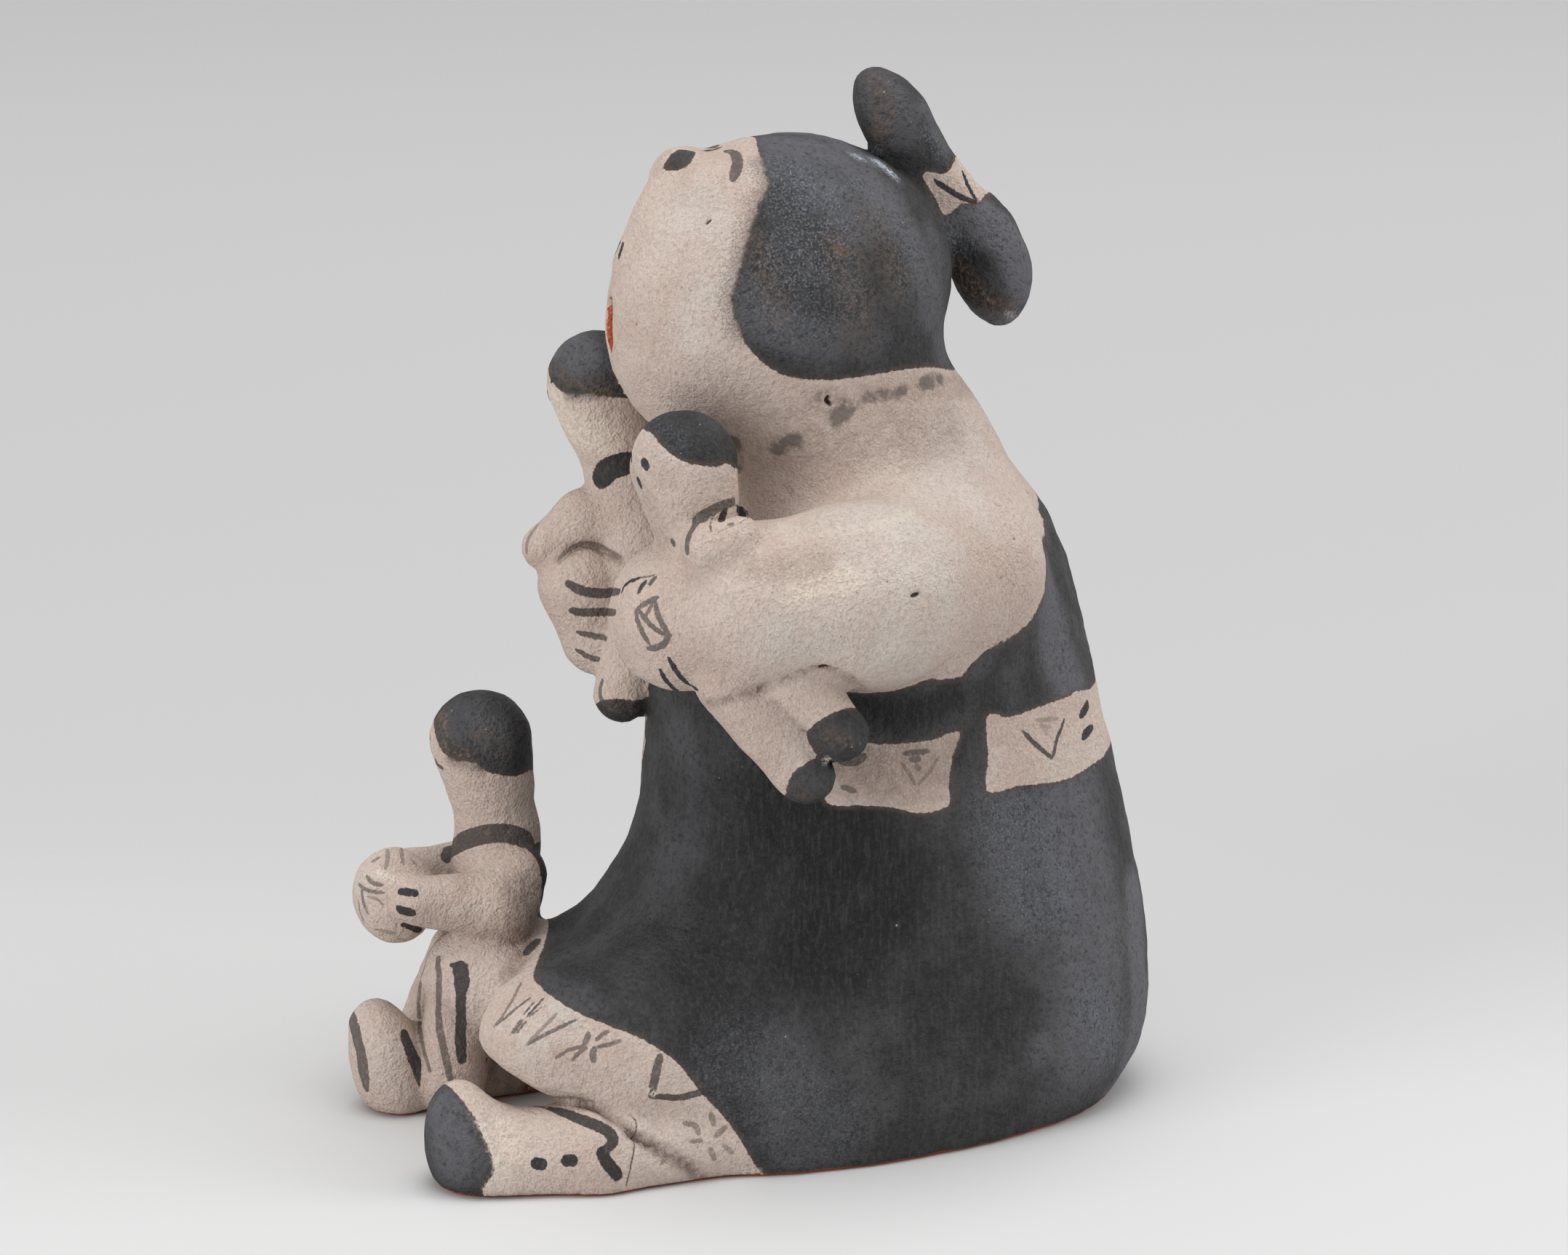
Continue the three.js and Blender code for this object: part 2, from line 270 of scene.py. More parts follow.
left_child = child(
    LEFT_CROWN, (28, -38.5, 122), (36, -28, 104),
    [[((34, -41, 124.5), 0.9), ((40.5, -41.5, 125.5), 0.78), ((42.5, -36, 128), 0.7)]],
    [[(39, -37, 99), (44, -23.5, 80.5), 1], [(43, -26, 99), (46.5, -17.5, 89), 1]],
)
right_child = child(
    RIGHT_CROWN, (-19, -37.4, 126), (-14, -34, 103),
    [[((-18, -38, 118.5), 1.25), ((-20, -46.2, 118.2), 1), ((-22, -54.4, 112.6), 0.82)]],
    [[(-12, -38, 98), (-9, -42.6, 85), 1]],
)
front_child = child(
    FRONT_CROWN, (-28, -62.5, 54), (-27.5, -64.5, 31),
    [
        [
            ((-28 + 8 * s, -61, 47), 1.1),
            ((-28 + 10.5 * s, -65.5, 41.5), 1.3),
            ((-28 + 9 * s, -82, 44), 0.95),
        ]
        for s in (1, -1)
    ],
    [[(-20.5, -71.5, 27), (-18.9, -76, 7), 1.38], [(-36, -68, 26), (-42, -75, 8), 1]],
)
pot = lump((-28, -84, 42.7), (8.9, 8.46, 9.5))

# The figure in one piece
# The pieces are luted together wet and pressed down on the table, which flattens the underside, and
# the whole is fired once. Its surface is read off a fine grid, then evened out.
GRID = 1.5
JOINT = 1.5
BATCH = 16384
PARTS = {
    "grandmother": grandmother, "left boot": left_boot, "right boot": right_boot,
    "left child": left_child, "right child": right_child, "front child": front_child, "pot": pot,
}
joined = luted(
    JOINT, grandmother, luted(JOINT, left_boot, right_boot), left_child, right_child,
    luted(JOINT, front_child, pot),
)
SURFACES = {**PARTS, "any": joined}

# A little clay fills the cleft between the head and the waist of the bun.
web = roll((0, 14.5, 186), (0, 23, 172), 3.6, 3.4)
figure = pared(luted(3, joined, web), lambda p: p[:, 2], 1.6)


def slope_of(form, points, step=0.05):
    """The distance of points from a form and the slope of that distance."""
    corners = step * np.array([(1, 1, 1), (1, -1, -1), (-1, 1, -1), (-1, -1, 1)])
    distance, slope = np.empty(len(points)), np.empty_like(points)
    for start in range(0, len(points), BATCH):
        part = slice(start, start + BATCH)
        values = [form(points[part] + corner) for corner in corners]
        distance[part] = np.mean(values, 0)
        slope[part] = sum(v[:, None] * corner for v, corner in zip(values, corners)) / (2 * step) ** 2
    return distance, slope


def settled(form, points, rounds=4, reach=0.8, gentlest=0.3):
    """Moves points near a form onto its surface."""
    for _ in range(rounds):
        distance, slope = slope_of(form, points)
        steep = np.linalg.norm(slope, axis=1)
        move = np.clip(distance / np.maximum(steep, gentlest), -reach, reach)
        points = points - slope / np.maximum(steep, TINY)[:, None] * move[:, None]
    return points


def surface_of(form, low, high, step):
    """Reads the surface of a form off a grid, as points and four-sided faces."""
    axes = [np.arange(a, b, step) for a, b in zip(low, high)]
    grid = np.stack(np.meshgrid(*axes, indexing="ij"), -1)
    value = np.concatenate([form(layer.reshape(-1, 3)) for layer in grid]).reshape(grid.shape[:3])
    inside = value < 0
    cells = tuple(n - 1 for n in value.shape)

    def at_corner(array, corner):
        return array[tuple(slice(c, c + n) for c, n in zip(corner, cells))]

    corners = [(i, j, k) for i in (0, 1) for j in (0, 1) for k in (0, 1)]
    filled = sum(at_corner(inside, c).astype(int) for c in corners)
    mixed = (filled > 0) & (filled < 8)
    number = np.full(cells, -1)
    number[mixed] = np.arange(mixed.sum())
    total = np.zeros((mixed.sum(), 3))
    crossings = np.zeros(mixed.sum())
    for axis in range(3):
        for corner in corners:
            if corner[axis]:
                continue
            other = tuple(c + (i == axis) for i, c in enumerate(corner))
            near, far = at_corner(value, corner)[mixed], at_corner(value, other)[mixed]
            cross = (near < 0) != (far < 0)
            place = np.tile(np.array(corner, float), (len(near), 1))
            place[cross, axis] += near[cross] / (near[cross] - far[cross])
            total[cross] += place[cross]
            crossings += cross
    points = np.array(low) + step * (np.argwhere(mixed) + total / crossings[:, None])

    faces = []
    for axis in range(3):
        b, c = (axis + 1) % 3, (axis + 2) % 3
        first, second = np.split(np.eye(3, dtype=int)[[b, c]], 2)
        ahead = np.roll(inside, -1, axis)
        change = np.argwhere(inside != ahead)
        room = (change > 0).all(1) & (change < np.array(cells)).all(1)
        change = change[room]
        around = [change - first - second, change - second, change, change - first]
        face = np.stack([number[tuple(g.T)] for g in around], 1)
        outward = inside[tuple(change.T)]
        faces.append(np.where(outward[:, None], face, face[:, ::-1]))
    return points, np.concatenate(faces)


def evened(form, points, triangles, share=0.5, rounds=2):
    """Draws every corner towards the middle of its neighbours along the surface."""
    ends = np.concatenate([triangles[:, [0, 1]], triangles[:, [1, 2]], triangles[:, [2, 0]]])
    for _ in range(rounds):
        total = np.zeros_like(points)
        count = np.zeros(len(points))
        np.add.at(total, ends[:, 0], points[ends[:, 1]])
        np.add.at(count, ends[:, 0], 1)
        points = points + share * (total / count[:, None] - points)
        points = settled(form, points, 2)
    return points


def refined(points, triangles, edge, margin, length):
    """Splits the sides that are longer than a length and lie within a margin of a mark's edge."""
    sides = np.sort(triangles[:, [[0, 1], [1, 2], [2, 0]]], axis=2)
    key = sides[..., 0].astype(np.int64) * len(points) + sides[..., 1]
    unique, number = np.unique(key, return_inverse=True)
    start, end = unique // len(points), unique % len(points)
    nearer, farther = np.minimum(edge[start], edge[end]), np.maximum(edge[start], edge[end])
    long = np.linalg.norm(points[start] - points[end], axis=1) > length
    split = (nearer < margin) & (farther > -margin) & long
    middle = np.full(len(unique), -1)
    middle[split] = len(points) + np.arange(split.sum())
    new = (points[start[split]] + points[end[split]]) / 2
    m = middle[number.reshape(-1, 3)]
    count = (m >= 0).sum(1)
    made = [triangles[count == 0]]
    for k in range(3):
        t, n = np.roll(triangles, -k, 1), np.roll(m, -k, 1)
        one = (count == 1) & (n[:, 0] >= 0)
        a, b, c = t[one].T
        p = n[one, 0]
        made += [np.stack([a, p, c], 1), np.stack([p, b, c], 1)]
        two = (count == 2) & (n[:, 2] < 0)
        a, b, c = t[two].T
        p, q = n[two, 0], n[two, 1]
        made += [np.stack([p, b, q], 1), np.stack([a, p, q], 1), np.stack([a, q, c], 1)]
    a, b, c = triangles[count == 3].T
    p, q, r = m[count == 3].T
    made += [np.stack(s, 1) for s in ((a, p, r), (p, b, q), (r, q, c), (p, q, r))]
    return np.vstack([points, new]), np.concatenate(made)


reach_low = np.array([-62, -98, -3]) * UNIT
reach_high = np.array([62, 70, 212]) * UNIT
points, faces = surface_of(figure, reach_low, reach_high, GRID)
points = settled(figure, points)
triangles = np.concatenate([faces[:, [0, 1, 2]], faces[:, [0, 2, 3]]])
points = evened(figure, points, triangles)

# The painter's marks
# Black slip and thin brown-black strokes are brushed on before the fire. A coat is a function that
# gives the distance from its edge, negative inside, and a stroke follows places of the picture.

# The distance in mm that stands for no mark near by.
AWAY = 9.0
VERY_FAR = 1e9
ALMOST_NOTHING = 1e-9
coats = []
marks = []
placed = {"brush": []}


def picture_of(points):
    """Where points show in the picture, in its pixels, and how far away they are."""
    away = points - EYE
    depth = away @ forward
    across = PICTURE[0] / 2 + FOCUS * (away @ rightward) / depth
    down = PICTURE[1] / 2 - FOCUS * (away @ upward) / depth
    return np.stack([across, down], 1), depth


def seen(form, places, before=930.0, steps=160, share=0.7, touch=0.02):
    """The points of a form that show at places of the picture."""
    places = np.array(places, float)
    across = (places[:, :1] - PICTURE[0] / 2) / FOCUS
    down = (places[:, 1:] - PICTURE[1] / 2) / FOCUS
    rays = forward + across * rightward - down * upward
    rays /= np.linalg.norm(rays, axis=1)[:, None]
    reach = np.full(len(places), before)
    nearest = np.full(len(places), VERY_FAR)
    found = reach.copy()
    for _ in range(steps):
        distance = form(EYE + rays * reach[:, None])
        closer = (distance < nearest - 1e-3) & (nearest > touch)
        found = np.where(closer, reach, found)
        nearest = np.where(closer, distance, nearest)
        reach = reach + np.where(nearest > touch, np.clip(share * distance, 0.3, 30), 0)
    return settled(form, EYE + rays * found[:, None])


def smooth_line(places, closed=False, steps=6):
    """More places along a smooth line through the places given."""
    places = np.array(places, float)
    if closed:
        padded = np.concatenate([places[-1:], places, places[:2]])
    else:
        padded = np.concatenate([2 * places[:1] - places[1:2], places, 2 * places[-1:] - places[-2:-1]])
    line = []
    for a, b, c, d in zip(padded, padded[1:], padded[2:], padded[3:]):
        for t in np.arange(steps) / steps:
            curve = b + t * (c - a) / 2 + t**2 * (2 * a - 5 * b + 4 * c - d) / 2
            line.append(curve + t**3 * (3 * b - a - 3 * c + d) / 2)
    if not closed:
        line.append(places[-1])
    return np.array(line)


def outline_distance(p, outline, room=60):
    """Distance in mm from a closed outline on the picture, negative inside."""
    places, depth = picture_of(p)
    outline = smooth_line(outline, closed=True, steps=4)
    close = ((places > outline.min(0) - room) & (places < outline.max(0) + room)).all(1)
    result = np.full(len(p), AWAY)
    places, depth = places[close], depth[close]
    nearest = np.full(len(places), VERY_FAR)
    inside = np.zeros(len(places), bool)
    for a, b in zip(outline, np.roll(outline, -1, 0)):
        away, along = places - a, b - a
        t = np.clip(away @ along / max(along @ along, ALMOST_NOTHING), 0, 1)
        nearest = np.minimum(nearest, ((away - t[:, None] * along) ** 2).sum(1))
        level = (a[1] > places[:, 1]) != (b[1] > places[:, 1])
        if b[1] != a[1]:
            cut = a[0] + (places[:, 1] - a[1]) * along[0] / (b[1] - a[1])
            inside ^= level & (places[:, 0] < cut)
    result[close] = np.sqrt(nearest) * depth / FOCUS * np.where(inside, -1, 1)
    return result


def middle_of(p, neck=150):
    """Where the plane between her two sides lies over x, which turns with the face above the neck."""
    return FACE_TURN * np.minimum(p[:, 1] + FACE_DEPTH, 0) * (p[:, 2] > neck)


def mirrored(p):
    """Points of her right side brought over to the left, through the middle of body and face."""
    middle = middle_of(p)
    return np.stack([middle + np.abs(p[:, 0] - middle), p[:, 1], p[:, 2]], 1)


def opposite(p):
    """The same points on the other side of body and face."""
    return np.stack([2 * middle_of(p) - p[:, 0], p[:, 1], p[:, 2]], 1)


def brushed(line, width, tips):
    """The brush's half width in mm along a line, from its width in the picture's pixels."""
    run = np.linspace(-1, 1, len(line))
    return width / 2 * picture_of(line)[1].mean() / FOCUS * (1 - (1 - tips) * run**4)


def stroke(part, places, width, strength=1.0, tips=0.6, both_sides=None, kind="brush"):
    """A brush stroke on a part, over places of the picture, thinner towards its tips."""
    line = smooth_line(places) if len(places) > 1 else np.array([places[0]] * 2, float)
    marks.append((part, line, width, strength, tips, both_sides, kind))


def strokes(part, rows, tips=0.6, both_sides=None, wider=1.0, darker=0.0):
    """Brush strokes on a part, each given as its places, width and strength."""
    for places, width, strength in rows:
        stroke(part, places, width * wider, strength + darker, tips, both_sides)


# Paint on hair and bun
# The hair is one cap of black slip, brushed from the crown down to the nape. The bun is black too,
# with a band of bare pink slip at its waist for the tie, which has a pattern of thin strokes.
HAIRLINE = [
    (1030, 150), (1037, 181), (1042, 205), (1050, 235), (1055, 256), (1045, 275), (1036, 300),
    (1024, 338), (1017, 365), (1010, 392), (1005, 412), (1008, 432), (1015, 452), (1025, 472),
    (1040, 490), (1065, 510), (1095, 520), (1150, 522), (1200, 516), (1240, 508), (1280, 505),
    (1330, 507), (1500, 480), (1560, 250), (1450, 40), (1200, 20),
]
BUN_TIE = [
    (1268, 238), (1298, 239), (1310, 228), (1322, 208), (1352, 235), (1376, 258), (1356, 266),
    (1346, 277), (1322, 281), (1300, 296), (1286, 272),
]
TIE_MARKS = [
    ([(1284, 246), (1300, 258), (1320, 270), (1341, 278)], 9, 1.0),
    ([(1323, 236), (1331, 254), (1343, 276)], 7, 1.0),
]
BEHIND_HEAD = 12


def hair(p):
    """The black of hair and bun, less the tie."""
    side = mirrored(p)
    tie = np.where(p[:, 1] > BEHIND_HEAD * UNIT, -outline_distance(side, BUN_TIE), -AWAY)
    return np.maximum(outline_distance(side, HAIRLINE), tie)


coats.append(("grandmother", hair))
strokes("grandmother", TIE_MARKS, both_sides="grandmother")

# Paint on the face
# The eyes are painted under the lids in black slip, shut for the song, with a curved brow above and
# a dot for each nostril. The far side of the face repeats the near one.
NEAR_EYE = [
    (912, 233), (917, 222), (926, 210), (938, 202), (950, 199), (958, 201), (957, 210), (949, 224),
    (938, 233), (924, 235),
]
BROW = [(997, 207), (1009, 211), (1014, 223), (1011, 237), (1007, 248)]
NOSTRIL = [(854, 334), (853, 344), (851, 354)]
EYE_TAIL = [(967, 207), (979, 206), (991, 202)]
NOSE_RIDGE = 1.5


def eyes(p):
    """Both eyes, which stop short of the ridge of the nose."""
    side = mirrored(p)
    ridge = FACE_TURN * np.minimum(p[:, 1] + FACE_DEPTH, 0)
    return np.maximum(outline_distance(side, NEAR_EYE), NOSE_RIDGE - (side[:, 0] - ridge))


coats.append(("grandmother", eyes))
stroke("grandmother", BROW, 16, 0.85, 0.35, "grandmother")
stroke("grandmother", NOSTRIL, 9, 1.0, both_sides="grandmother")
stroke("grandmother", EYE_TAIL, 9, 1.0)

# Dress and belt
# A black manta from the right shoulder to the hem, brushed on in slip, which leaves the left arm
# bare. The woven belt is two bare panels a side, with angles and dots in thin strokes.
NECKLINE = [
    (1424, 664), (1433, 697), (1436, 725), (1433, 752), (1426, 782), (1413, 808), (1403, 834),
    (1388, 860), (1370, 880), (1350, 900), (1334, 915), (1322, 930), (1300, 934), (1278, 933),
    (1256, 940), (1238, 946), (1205, 945), (1180, 944), (1100, 944), (1000, 944), (860, 900),
    (700, 930), (600, 1400), (900, 1900), (1700, 1800), (1700, 664),
]
FAR_NECK_TURN = [-200, -180, -150, -120, -90, -60, -27, 0, 25, 40]
FAR_NECK_HEIGHT = [106, 108, 116, 126, 134, 134, 130, 125, 121, 118]
HEM_EDGE = [
    (560, 1200), (700, 1210), (750, 1255), (749, 1295), (739, 1322), (733, 1342), (745, 1358),
    (760, 1370), (790, 1389), (825, 1405), (875, 1425), (912, 1446), (936, 1466), (963, 1500),
    (992, 1532), (1014, 1560), (1028, 1584), (1041, 1606), (1054, 1622), (1064, 1680), (900, 1800),
    (400, 1700), (400, 1300),
]
FRONT_PANEL = [
    (1136, 1006), (1150, 1018), (1190, 1022), (1240, 1022), (1280, 1017), (1318, 1005), (1309, 1040),
    (1304, 1080), (1303, 1108), (1262, 1118), (1230, 1110), (1180, 1107), (1144, 1106), (1134, 1090),
]
BACK_PANEL = [
    (1357, 984), (1385, 986), (1412, 978), (1440, 968), (1470, 957), (1482, 950), (1510, 946),
    (1560, 930), (1570, 1020), (1527, 1034), (1492, 1058), (1462, 1072), (1430, 1077), (1400, 1080),
    (1358, 1088), (1358, 1040),
]
BELT_MARKS = [
    ([(1405, 1005), (1422, 1023), (1445, 1042)], 8, 0.9),
    ([(1445, 1042), (1452, 1018), (1463, 988)], 7, 0.9),
    ([(1496, 966), (1492, 975), (1486, 984)], 14, 1.0),
    ([(1502, 1000), (1494, 1007), (1488, 1014)], 14, 1.0),
    ([(1424, 990), (1438, 989), (1453, 988)], 7, 0.45),
    ([(1430, 997), (1438, 1000), (1444, 998)], 8, 0.4),
    ([(1436, 1006), (1438, 1010)], 6, 0.35),
    ([(1243, 1036), (1260, 1034), (1276, 1032)], 9, 0.75),
    ([(1252, 1044), (1264, 1043)], 10, 0.7),
    ([(1260, 1052), (1263, 1057)], 8, 0.65),
    ([(1240, 1048), (1250, 1064), (1258, 1078)], 6, 0.55),
    ([(1290, 1040), (1276, 1062), (1262, 1078)], 6, 0.5),
    ([(1150, 1042), (1172, 1046), (1188, 1040)], 16, 0.8),
    ([(1158, 1081), (1176, 1088)], 9, 0.7),
]
NEAR_SIDE = (24, -170)
BELT_MIDDLE, BELT_HALF = 78.5, 6.7
BELT_GAPS, BELT_GAP_HALF = (12, 98), 3.6
MM_PER_DEGREE = 0.62
BELT_BAND = (60, 96)
SKIRT_FRONT, SKIRT_TOP, NEAR_HEM = -26, 60, -24
NECK_SLANT = 0.8
SLEEVE_BACK, SLIP_OVERLAP, HEM_OVERLAP = -4, 1.2, 0.6


def turn_of(p):
    """The angle round the body's axis, 0 behind and 90 on her left, in degrees."""
    return np.degrees(np.arctan2(p[:, 0], p[:, 1] - 2 * UNIT))


def hidden_panels(p):
    """The belt's panels on the sides that the picture doesn't show."""
    turn = turn_of(p)
    band = np.abs(p[:, 2] / UNIT - BELT_MIDDLE) - BELT_HALF
    gap = np.minimum(*[np.abs(turn + at) for at in BELT_GAPS]) * MM_PER_DEGREE - BELT_GAP_HALF
    return np.maximum(band, -gap)


def dress(p):
    """The black of the manta: below the neckline, less the belt's panels, the hem and the arms."""
    turn, height = turn_of(p), p[:, 2]
    near = (turn > NEAR_SIDE[0]) | (turn < NEAR_SIDE[1])
    neck = np.interp(turn, FAR_NECK_TURN, FAR_NECK_HEIGHT) * UNIT
    edge = np.where(near, outline_distance(p, NECKLINE), (height - neck) * NECK_SLANT)
    panels = np.minimum(outline_distance(p, FRONT_PANEL), outline_distance(p, BACK_PANEL))
    panels = np.where(near, panels, hidden_panels(p))
    panels = np.where((height > BELT_BAND[0]) & (height < BELT_BAND[1]), panels, AWAY)
    hem = outline_distance(np.stack([np.abs(p[:, 0]), p[:, 1], height], 1), HEM_EDGE)
    hem = np.minimum(hem, np.where(p[:, 0] > NEAR_HEM, outline_distance(p, HEM_EDGE), AWAY))
    hem = np.where((p[:, 1] < SKIRT_FRONT) & (height < SKIRT_TOP), hem, AWAY)
    sleeve = np.maximum(right_arm(p) - SLIP_OVERLAP, p[:, 1] - SLEEVE_BACK)
    bare_arm = left_arm(p) - SLIP_OVERLAP
    bare = np.minimum.reduce([panels, hem, sleeve, bare_arm, under_hem(p) - HEM_OVERLAP])
    return np.maximum(edge, -bare)


coats.append(("grandmother", dress))
strokes("grandmother", BELT_MARKS)

# Paint on the hem
# The skirt's border is bare pink slip, painted with leaves, flowers and angles in thin brown-black
# strokes that repeat on her right side.
HEM_MARKS = [
    ([(680, 1411), (697, 1389), (708, 1367), (716, 1350)], 5, 0.7),
    ([(680, 1411), (700, 1395), (716, 1382), (728, 1372)], 4, 0.8),
    ([(721, 1394), (734, 1377)], 3.2, 0.9),
    ([(725, 1398), (747, 1371)], 3.2, 0.9),
    ([(729, 1397), (744, 1385)], 3.2, 0.8),
    ([(702, 1422), (717, 1402)], 3.2, 0.8),
    ([(707, 1420), (720, 1402)], 3.2, 0.8),
    ([(712, 1419), (725, 1403)], 3.2, 0.8),
    ([(725, 1436), (742, 1418), (757, 1402), (765, 1393)], 5, 0.6),
    ([(725, 1436), (746, 1424), (770, 1412), (791, 1402)], 5, 0.8),
    ([(765, 1453), (780, 1444), (801, 1438)], 5.5, 0.75),
    ([(787, 1457), (795, 1448), (806, 1440)], 5.5, 0.75),
    ([(804, 1434), (807, 1427), (809, 1421)], 8, 0.75),
    ([(820, 1429), (828, 1422), (836, 1418)], 6, 0.75),
    ([(823, 1439), (836, 1436), (852, 1431)], 6, 0.75),
    ([(816, 1457), (815, 1449), (817, 1442)], 9, 0.75),
    ([(907, 1453), (902, 1475), (897, 1500)], 12, 0.85),
    ([(895, 1506), (930, 1508), (950, 1504), (970, 1498)], 10, 0.9),
    ([(941, 1544), (955, 1547), (960, 1558)], 8, 0.65),
    ([(978, 1530), (981, 1544)], 8, 0.65),
    ([(984, 1561), (997, 1549)], 8, 0.65),
    ([(950, 1569), (964, 1568)], 6, 0.65),
    ([(976, 1579), (981, 1592)], 8, 0.65),
    ([(995, 1574), (1006, 1583)], 7, 0.6),
]
strokes("any", HEM_MARKS, 0.8, "any", wider=1.1)

# Paint on the hands
# Finger lines, bracelets and a small crossed square are brushed on the near hand, and four fingers
# on the far one, which lies on the breast.
HAND_MARKS = [
    ([(854, 815), (858, 806), (866, 799), (880, 794)], 5, 0.9),
    ([(868, 797), (886, 793), (902, 789)], 2.6, 0.7),
    ([(878, 815), (882, 806), (888, 799)], 6, 0.85),
    ([(894, 804), (897, 798), (901, 793)], 6, 0.75),
    ([(877, 836), (890, 828), (905, 821)], 6.5, 0.7),
    ([(901, 828), (906, 846), (913, 861), (920, 873)], 6.5, 0.7),
    ([(921, 873), (914, 884), (902, 890), (892, 890)], 7.5, 0.7),
    ([(893, 884), (884, 868), (877, 852), (875, 838)], 6.5, 0.7),
    ([(878, 838), (888, 851), (902, 864), (915, 873)], 6, 0.7),
    ([(898, 829), (892, 841), (887, 850)], 5, 0.65),
    ([(920, 904), (926, 916), (936, 930), (946, 940), (958, 948)], 6.5, 0.9),
    ([(908, 920), (915, 933), (928, 948), (943, 958), (961, 965)], 6.5, 0.9),
]
FAR_FINGERS = [
    ([(782, 802), (796, 810), (812, 814), (830, 815), (850, 813)], 14, 0.9),
    ([(786, 839), (800, 841), (822, 841), (846, 842)], 13, 0.9),
    ([(795, 869), (812, 873), (828, 876), (843, 879)], 9, 0.85),
    ([(793, 894), (806, 901), (818, 905), (833, 905)], 9, 0.85),
]
strokes("any", HAND_MARKS, wider=1.35, darker=0.1)
strokes("grandmother", FAR_FINGERS, 0.7)

# The child on her left arm
# A cap of black hair, dots for the face, a collar and black toes, brushed on. Its hand, with spots
# and finger lines, lies on the grandmother's arm.
LEFT_CAP = [
    (862, 574), (872, 584), (883, 590), (895, 595), (905, 607), (918, 620), (933, 631), (950, 638),
    (972, 641), (986, 641), (1000, 637), (1016, 644), (1045, 620), (1000, 540), (930, 525),
    (880, 545),
]
UPPER_TOE = [
    (1108, 1010), (1120, 996), (1136, 985), (1158, 975), (1184, 972), (1230, 975), (1225, 1050),
    (1150, 1056), (1120, 1032),
]
LOWER_TOE = [
    (1080, 1092), (1088, 1066), (1106, 1051), (1128, 1039), (1143, 1039), (1180, 1060), (1170, 1110),
    (1110, 1125), (1078, 1110),
]
LEFT_CHILD_MARKS = [
    ([(885, 634), (889, 642)], 13, 1.0),
    ([(878, 659), (880, 668)], 11, 1.0),
    ([(867, 624), (868, 635)], 6, 1.0),
    ([(924, 743), (927, 749)], 8, 0.85),
    ([(945, 757), (945, 744), (951, 728), (963, 712), (980, 701), (996, 694), (1009, 690)], 15, 0.85),
    ([(978, 731), (977, 720), (984, 706), (999, 697), (1013, 695), (1027, 704), (1029, 711)], 3.4, 0.8),
    ([(982, 734), (1000, 726), (1028, 713)], 2.6, 0.6),
    ([(997, 703), (994, 710), (992, 716)], 12, 1.0),
    ([(1015, 699), (1019, 703), (1022, 708)], 12, 1.0),
    ([(1002, 722), (1008, 720)], 5, 0.8),
]
LEFT_CHILD_FACE = LEFT_CHILD_MARKS[:3]
LEFT_CHILD_NECK, LEFT_CHILD_KNEES = 126, 100


def left_child_black(p):
    """Its hair above the neck and its toes below the knees, both heights in mm."""
    toes = np.minimum(outline_distance(p, UPPER_TOE), outline_distance(p, LOWER_TOE))
    cap = np.where(p[:, 2] > LEFT_CHILD_NECK, outline_distance(p, LEFT_CAP), AWAY)
    return np.minimum(cap, np.where(p[:, 2] < LEFT_CHILD_KNEES, toes, AWAY))


coats.append(("left child", left_child_black))
strokes("any", LEFT_CHILD_MARKS, 0.85)

# The child on her right arm
# Painted like the other, its face turned away from the picture. That face repeats the other
# child's, brought over to this head.
RIGHT_CAP = [
    (735, 488), (750, 500), (757, 520), (770, 537), (790, 545), (812, 543), (835, 546), (862, 548),
    (920, 556), (960, 500), (900, 420), (800, 420), (730, 450),
]
RIGHT_SOLE = [
    (820, 968), (840, 961), (856, 960), (870, 963), (886, 960), (930, 960), (930, 1010), (820, 1010),
]
RIGHT_CHILD_MARKS = [
    ([(826, 659), (836, 646), (850, 639), (868, 635)], 34, 1.0),
    ([(739, 722), (730, 734), (725, 746), (724, 760)], 7, 0.6),
    ([(829, 936), (826, 948), (828, 960), (838, 970)], 8, 0.8),
]
BELLY_CREASE = [(768, 768), (778, 757), (790, 750), (805, 746), (825, 750), (855, 765)]
RIGHT_CHILD_NECK, RIGHT_CHILD_KNEES = 130, 92


def right_child_black(p):
    """Its hair above the neck and its sole below the knees."""
    cap = np.where(p[:, 2] > RIGHT_CHILD_NECK, outline_distance(p, RIGHT_CAP), AWAY)
    sole = np.where(p[:, 2] < RIGHT_CHILD_KNEES, outline_distance(p, RIGHT_SOLE), AWAY)
    return np.minimum(cap, sole)


coats.append(("right child", right_child_black))
strokes("right child", RIGHT_CHILD_MARKS, 0.8)
stroke("any", BELLY_CREASE, 6, 0.6)

crossed = np.array([-1, 1, 1])
head_shift = (np.array(RIGHT_CROWN) - crossed * np.array(LEFT_CROWN)) * UNIT
for places, width, strength in LEFT_CHILD_FACE:
    line = seen(left_child, smooth_line(places))
    half = brushed(line, width, 0.75)
    line = settled(right_child, line * crossed + head_shift, 8)
    placed["brush"].append(("right child", line, half, strength))

